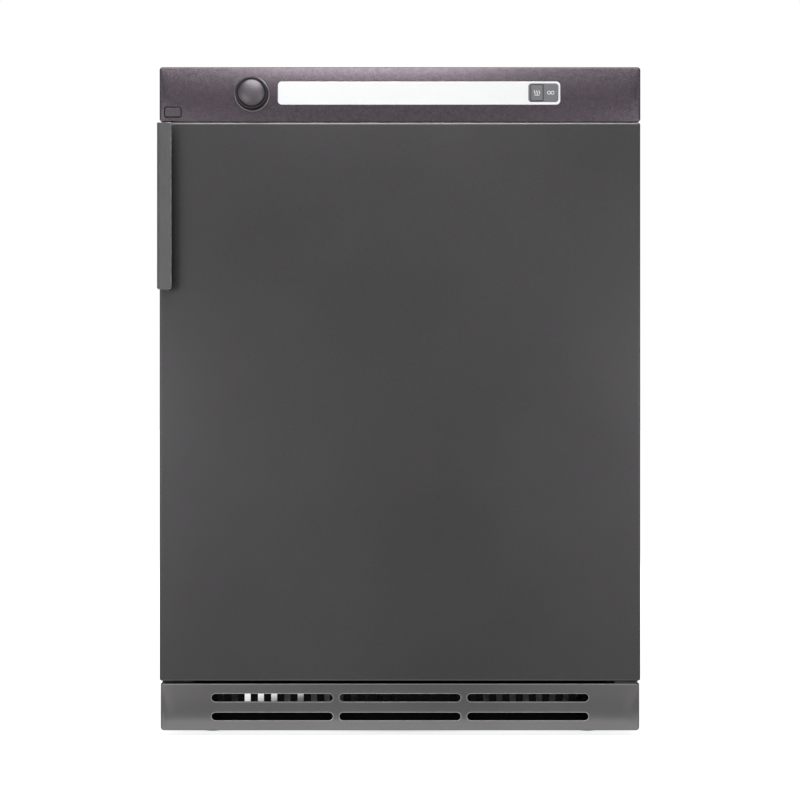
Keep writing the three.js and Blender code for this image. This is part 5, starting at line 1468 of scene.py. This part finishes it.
@dataclass
class Drum:
    """Stainless drum with a stepped neck and rolled beads, dished back with round air holes, and its lifters."""

    axis: float = 447.0
    radius: float = 280.0
    neck: float = 225.0
    sheet: float = 2.0
    neck_start: float = 83.0
    front: float = 98.0
    end: float = 535.0
    corner: float = 8.0
    dish: float = 14.0
    web: float = 240.0
    boss: float = 62.0
    beads: tuple[float, ...] = (170.0, 250.0, 430.0, 500.0)
    bead_height: float = 1.6
    bead_width: float = 4.0
    hole_rings: tuple[tuple[float, int], ...] = ((92.0, 7), (140.0, 11))
    hole_radius: float = 10.5
    fittings: tuple[Soft, ...] = (
        Soft("drum_lifter_1", GREY, "drum", 3.0, 5),
        Soft("drum_lifter_2", GREY, "drum", 3.0, 5),
        Soft("drum_lifter_3", GREY, "drum", 3.0, 5),
        Soft("drum_shaft", ZINC, "drum"),
    )

    def shell(self) -> None:
        """Makes the shell; its side sinks by h exp(-((s - s0) / w)^2) at each bead s0, inwards of its radius."""
        n, f, c, sheet = self.neck, self.front, self.corner, self.sheet
        side = np.concatenate([np.linspace(f + c, self.end, 26)]
                              + [b + self.bead_width * np.linspace(-2.4, 2.4, 9) for b in self.beads])
        side = np.unique(np.round(np.clip(side, f + c, self.end), 3))
        sunk = sum(np.exp(-((side - b) / self.bead_width) ** 2) for b in self.beads) * self.bead_height
        a = np.linspace(0.0, RIGHT, 7)
        start = self.neck_start
        outer = [(n - 0.5, start), (n, start + 0.5), (n, f - 2.0), (n + 0.6, f - 0.6), (n + 2, f),
                 *zip(self.radius - c + c * np.sin(a), f + c - c * np.cos(a)),
                 *zip(self.radius - sunk[1:], side[1:])]
        back, inside_corner = a[::-1], c - sheet
        inner = [*zip(self.radius - sheet - sunk[:0:-1], side[:0:-1]),
                 *zip(self.radius - c + inside_corner * np.sin(back), f + c - inside_corner * np.cos(back)),
                 (n + 0.5, f + sheet), (n - 1.6, f + sheet - 0.4), (n - sheet, f), (n - sheet, start)]
        made("drum_side", revolved([*outer, *inner, outer[0]], (0.0, self.axis), steps=144), STAINLESS,
             "drum", "drum_shell")

    def back(self) -> None:
        """Makes the dished back: flat web with its rings of holes, and the stepped rim round it as a revolve."""
        sheet = self.sheet - 0.2
        w, web, end = self.web, self.end - self.dish, self.end
        holes = [(disc(radius * math.cos(t), self.axis + radius * math.sin(t), self.hole_radius, 32),
                  hole_rim(sheet, 0.4, web))
                 for radius, count in self.hole_rings for t in FULL * (np.arange(count) + 0.5) / count]
        holes.append((disc(0.0, self.axis, self.boss, 96), hole_rim(sheet, 0.2, web)))
        flat = Panel(disc(0.0, self.axis, w, 144), plate_rim(sheet, 0.05, web), holes).surface()
        rim = self.radius - self.sheet - 0.3
        ring = [(w - 0.2, web), (w + 1.5, web + 0.6), (w + 6.4, end - sheet - 0.7), (w + 8, end - sheet),
                (rim, end - sheet), (rim, end), (w + 7, end), (w + 5.2, end - 0.7),
                (w + 0.4, web + sheet + 0.6), (w - 1, web + sheet), (w - 0.2, web)]
        b, middle = self.boss, (0.0, self.axis)
        centre = [(0.0, web + 0.4), (b - 22, web + 0.4), (b - 16, web + 0.1), (b - 10, web - 1.2),
                  (b - 5, web - 1.2), (b - 1, web - 0.2), (b + 1, web), (b + 1, web + sheet), (0.0, web + sheet)]
        whole = flat + revolved(ring, middle, steps=144) + revolved(centre, middle, steps=96)
        made("drum_web", whole, STAINLESS, "drum", "drum_back")

    def build(self) -> None:
        """Builds the drum and what turns with it."""
        self.shell()
        self.back()
        for piece in self.fittings:
            piece.build()


@dataclass
class Foot:
    """Levelling foot: rubber pad, hexagon and a screw whose thread is r + h cos(2 pi z / p - a)."""

    name: str
    x: float
    depth: float
    pad: float = 15.0
    pad_height: float = 6.0
    hexagon: float = 8.6
    hexagon_top: float = 11.7
    core: float = 4.5
    thread: float = 0.45
    pitch: float = 1.5
    top: float = 50.0
    run_out: float = 1.5

    def threaded(self, z: Array, a: Array) -> Array:
        """The thread's height, fading out at both ends.

        Args:
            z: stations above the floor.
            a: angles round the screw.

        Returns:
            The height at each point.
        """
        low, high = self.hexagon_top + 1.0, self.top - 2.5
        fade = np.clip((z - low) / self.run_out, 0, 1) * np.clip((high - z) / self.run_out, 0, 1)
        return self.thread * np.cos(FULL * z / self.pitch - a) * fade

    def build(self) -> None:
        """Builds the pad with its grooved side, and the screw with its hexagon."""
        p, h, b, nut_top = self.pad, self.pad_height, self.hexagon, self.hexagon_top
        core, top, place = self.core, self.top, (self.x, self.depth)
        pad = [(0.0, 0.0), (p - 2.2, 0.0), (p - 1.6, 0.35), (p - 0.9, 0.35), (p - 0.3, 0.5), (p, 1.2), (p, 2.2),
               (p - 0.7, 2.5), (p - 0.7, 3.0), (p, 3.3), (p, h - 1.6), (p - 0.8, h - 0.7), (p - 2.8, h), (0.0, h)]
        made(self.name + "_pad", revolved(pad, place, "z", 48), FOOT_BLACK, self.name, self.name)
        nut = [(0.0, h - 0.5), (b - 0.9, h - 0.5), (b, h + 0.1), (b, nut_top - 0.6), (b - 0.9, nut_top),
               (0.0, nut_top)]
        shank = [(core, z) for z in np.arange(nut_top - 0.4, top - 1.5, self.pitch / 8)]
        screw = [(0.0, nut_top - 0.8), *shank, (core - 0.6, top - 0.6), (core - 1.2, top), (0.0, top)]
        turned = revolved(nut, place, "z", 6) + revolved(screw, place, "z", 24, self.threaded)
        made(self.name + "_screw", turned, ZINC, self.name)


@dataclass
class AirPath:
    """Heater, lint filter, duct, blower and exhaust with its spigot; all keep their CAD shape."""

    pieces: tuple[Soft, ...] = (
        Soft("exhaust_duct", BLACK),
        Soft("blower_housing", GREY),
        Soft("filter_duct", GREY),
        Soft("lint_filter", GREY, "lint_filter", 0.3),
        Soft("blower_wheel", GREY, "rotor", 0.3),
        Soft("heater_frame", ZINC, "root", 0.3),
    )

    def build(self) -> None:
        """Softens the air path's mouldings and dresses the element."""
        for piece in self.pieces:
            piece.build()
        dress("heater_element", ELEMENT)


@dataclass
class Drive:
    """Motor on its cradle, shaft, belt and idler, the rollers that carry the drum, and its rear bearing."""

    pieces: tuple[Soft, ...] = (
        Soft("motor_body", ZINC, "root", 0.5),
        Soft("motor_cradle", ZINC),
        Soft("rotor_shaft", ZINC, "rotor", 0.2, 1),
        Soft("idler_arm", ZINC, "idler_arm", 0.3),
        Soft("idler_pulley", GREY, "idler_pulley", 0.3),
        Soft("support_roller_left", GREY, "support_roller_left", 0.3),
        Soft("support_roller_right", GREY, "support_roller_right", 0.3),
        Soft("roller_bracket_left", ZINC, "root", 0.3),
        Soft("roller_bracket_right", ZINC, "root", 0.3),
        Soft("bearing_housing", ZINC),
    )

    def build(self) -> None:
        """Softens the drive's pieces and dresses its belt and the drum's felts."""
        for piece in self.pieces:
            piece.build()
        dress("drive_belt", RUBBER)
        dress("rear_felt_seal", FELT)
        dress("front_felt_seal", FELT)


# ---------------------------------------------------------------------------------------------
# Studio
# ---------------------------------------------------------------------------------------------
@dataclass(frozen=True)
class Lamp:
    """One soft rectangular lamp: its place and aim in metres, its size and its power in watts.

    A lamp that isn't mirrored only lights, and one that doesn't light is only mirrored, like a white card.
    """

    name: str
    place: Point
    aim: Point
    size: Pair
    power: float
    mirrored: bool = True
    lights: bool = True

    def hang(self) -> None:
        """Hangs the lamp so that it points at its aim; it isn't seen itself."""
        data = bpy.data.lights.new(self.name, "AREA")
        data.shape = "RECTANGLE"
        data.size, data.size_y = self.size
        data.energy = self.power
        piece = bpy.data.objects.new(self.name, data)
        piece.location = self.place
        piece.rotation_euler = (Vector(self.aim) - Vector(self.place)).to_track_quat("-Z", "Y").to_euler()
        piece.visible_camera = False
        piece.visible_glossy = self.mirrored
        piece.visible_diffuse = self.lights
        bpy.context.scene.collection.objects.link(piece)


@dataclass
class Studio:
    """White studio: a pale floor that keeps the shadow, soft lamps on both sides and above, the photo's camera."""

    camera: Point = (0.0, -3.2925, 0.418)
    lens: float = 109.13
    sensor: float = 36.0
    floor_half: float = 30.0
    floor_tone: float = 0.8
    floor_mottle: float = 0.01
    # painted shade: the floor's glow is dimmed under the machine, seen through the slots and under the plinth
    floor_glow_and_shade: Pair = (0.1, 0.78)  # under the machine and away from it
    painted_shade_edge: Pair = (0.16, 0.26)
    ambient: float = 0.42
    lamps: tuple[Lamp, ...] = (
        Lamp("left_box", (-1.22, -3.0, 0.36), (-0.1, -0.3, 0.36), (1.1, 0.7), 14.0),
        Lamp("key_box", (-1.5, -2.2, 0.8), (-0.1, -0.3, 0.45), (1.0, 1.0), 15.0, mirrored=False),
        Lamp("right_box", (1.22, -3.0, 0.36), (0.1, -0.3, 0.36), (1.1, 0.7), 13.0),
        Lamp("left_side", (-1.5, -0.7, 0.45), (-0.25, -0.3, 0.42), (0.5, 1.2), 3.5, lights=False),
        Lamp("right_side", (1.5, -0.7, 0.45), (0.25, -0.3, 0.42), (0.5, 1.2), 4.5, lights=False),
        Lamp("upper_box", (-0.06, -1.62, 1.35), (-0.06, -0.3, 0.8), (0.44, 0.2), 3.5),
        Lamp("ceiling_box", (0.0, -1.25, 1.9), (0.0, -0.28, 0.45), (1.4, 1.3), 54.0, lights=False),
        Lamp("front_card", (0.0, -3.1, 1.5), (0.0, -0.3, 0.75), (1.1, 0.6), 1.4, lights=False),
        Lamp("floor_card", (0.0, -0.312, 0.004), (0.0, -0.312, 1.0), (0.62, 0.07), 0.28, lights=False),
        Lamp("rear_box", (0.6, 2.6, 1.5), (0.0, 0.2, 0.4), (1.5, 1.2), 20.0, mirrored=False),
    )

    def seen(self, tree: Tree) -> Socket:
        """Tells rays that see the studio from rays that light the object.

        Args:
            tree: the tree that asks.

        Returns:
            1 for camera, glossy and transmission rays, else 0.
        """
        path = tree.add("LightPath")
        direct = tree.math("MAXIMUM", path.outputs["Is Camera Ray"], path.outputs["Is Glossy Ray"])
        return tree.math("MAXIMUM", direct, path.outputs["Is Transmission Ray"])

    def world(self) -> None:
        """Lights diffuse rays at the ambient level and shows plain white to camera, glossy and clear rays."""
        world = bpy.data.worlds.new("white_room")
        bpy.context.scene.world = world
        world.use_nodes = True
        world.node_tree.nodes.clear()
        tree = Tree(world.node_tree)
        power = tree.span(self.seen(tree), 0.0, 1.0, self.ambient, 1.0, False)
        light = tree.add("Background", Color=WHITE, Strength=power)
        tree.add("OutputWorld", i0=light.outputs[0])

    def floor(self) -> None:
        """Lays a large floor that is seen as white and still takes the shadow; its glow is dimmed under the
        machine as painted shade.
        """
        mesh = bpy.data.meshes.new("studio_floor")
        side = self.floor_half
        corners = [(-side, -side, 0), (side, -side, 0), (side, side, 0), (-side, side, 0)]
        mesh.from_pydata(corners, [], [(0, 1, 2, 3)])
        piece = bpy.data.objects.new("studio_floor", mesh)
        bpy.context.scene.collection.objects.link(piece)
        new = bpy.data.materials.new("studio_paper")
        new.use_nodes = True
        new.node_tree.nodes.clear()
        tree = Tree(new.node_tree)
        tone = tree.span(tree.add("TexNoise", Vector=tree.place(), Scale=3.0).outputs[0], 0.2, 0.8,
                         self.floor_tone - self.floor_mottle, self.floor_tone + self.floor_mottle)
        colour = tree.add("CombineColor", i0=tone, i1=tone, i2=tone).outputs[0]
        paper = tree.add("BsdfDiffuse", Color=colour, Roughness=0.0)
        away = tree.vector("LENGTH", tree.place(), output=1)
        # glow dimmed round the machine's middle: painted shade
        level = tree.math("MULTIPLY", self.seen(tree), tree.span(away, *self.painted_shade_edge, *self.floor_glow_and_shade))
        glow = tree.add("Emission", Color=WHITE, Strength=level)
        both = tree.add("AddShader", i0=paper.outputs[0], i1=glow.outputs[0])
        tree.add("OutputMaterial", i0=both.outputs[0])
        mesh.materials.append(new)
        piece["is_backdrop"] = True

    def shot(self) -> None:
        """Stands the camera where the photo was taken from, level and looking along the depth."""
        data = bpy.data.cameras.new("photo_view")
        data.lens = self.lens
        data.sensor_width = self.sensor
        data.clip_end = 100.0
        piece = bpy.data.objects.new("photo_view", data)
        piece.location = self.camera
        piece.rotation_euler = (RIGHT, 0.0, 0.0)
        bpy.context.scene.collection.objects.link(piece)
        bpy.context.scene.camera = piece
        bpy.context.scene.view_settings.view_transform = "Standard"

    def build(self) -> None:
        """Sets the studio up."""
        self.world()
        self.floor()
        for lamp in self.lamps:
            lamp.hang()
        self.shot()


FEET = (
    Foot("front_left_foot", -237.0, 78.0),
    Foot("front_right_foot", 237.0, 78.0),
    Foot("rear_left_foot", -237.0, 523.0),
    Foot("rear_right_foot", 237.0, 523.0),
)


def plain(corners: object) -> object:
    """Turns nested vectors into plain lists.

    Args:
        corners: a number, or numbers in vectors.

    Returns:
        The same numbers in lists.
    """
    if isinstance(corners, (int, float)):
        return float(corners)
    return [plain(part) for part in corners]


def main() -> None:
    """Builds the machine from its frame, notes both outer sizes and sets the studio."""
    logging.basicConfig(level=logging.INFO, format="%(name)s: %(message)s")
    before = plain(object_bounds())
    for part in (Cabinet(), Plinth(), Controls(), Door(), Drum(), AirPath(), Drive(), *FEET, Studio()):
        part.build()
    after = plain(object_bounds())
    log.info("frame %s, visual %s", before, after)


if __name__ == "__main__":
    main()
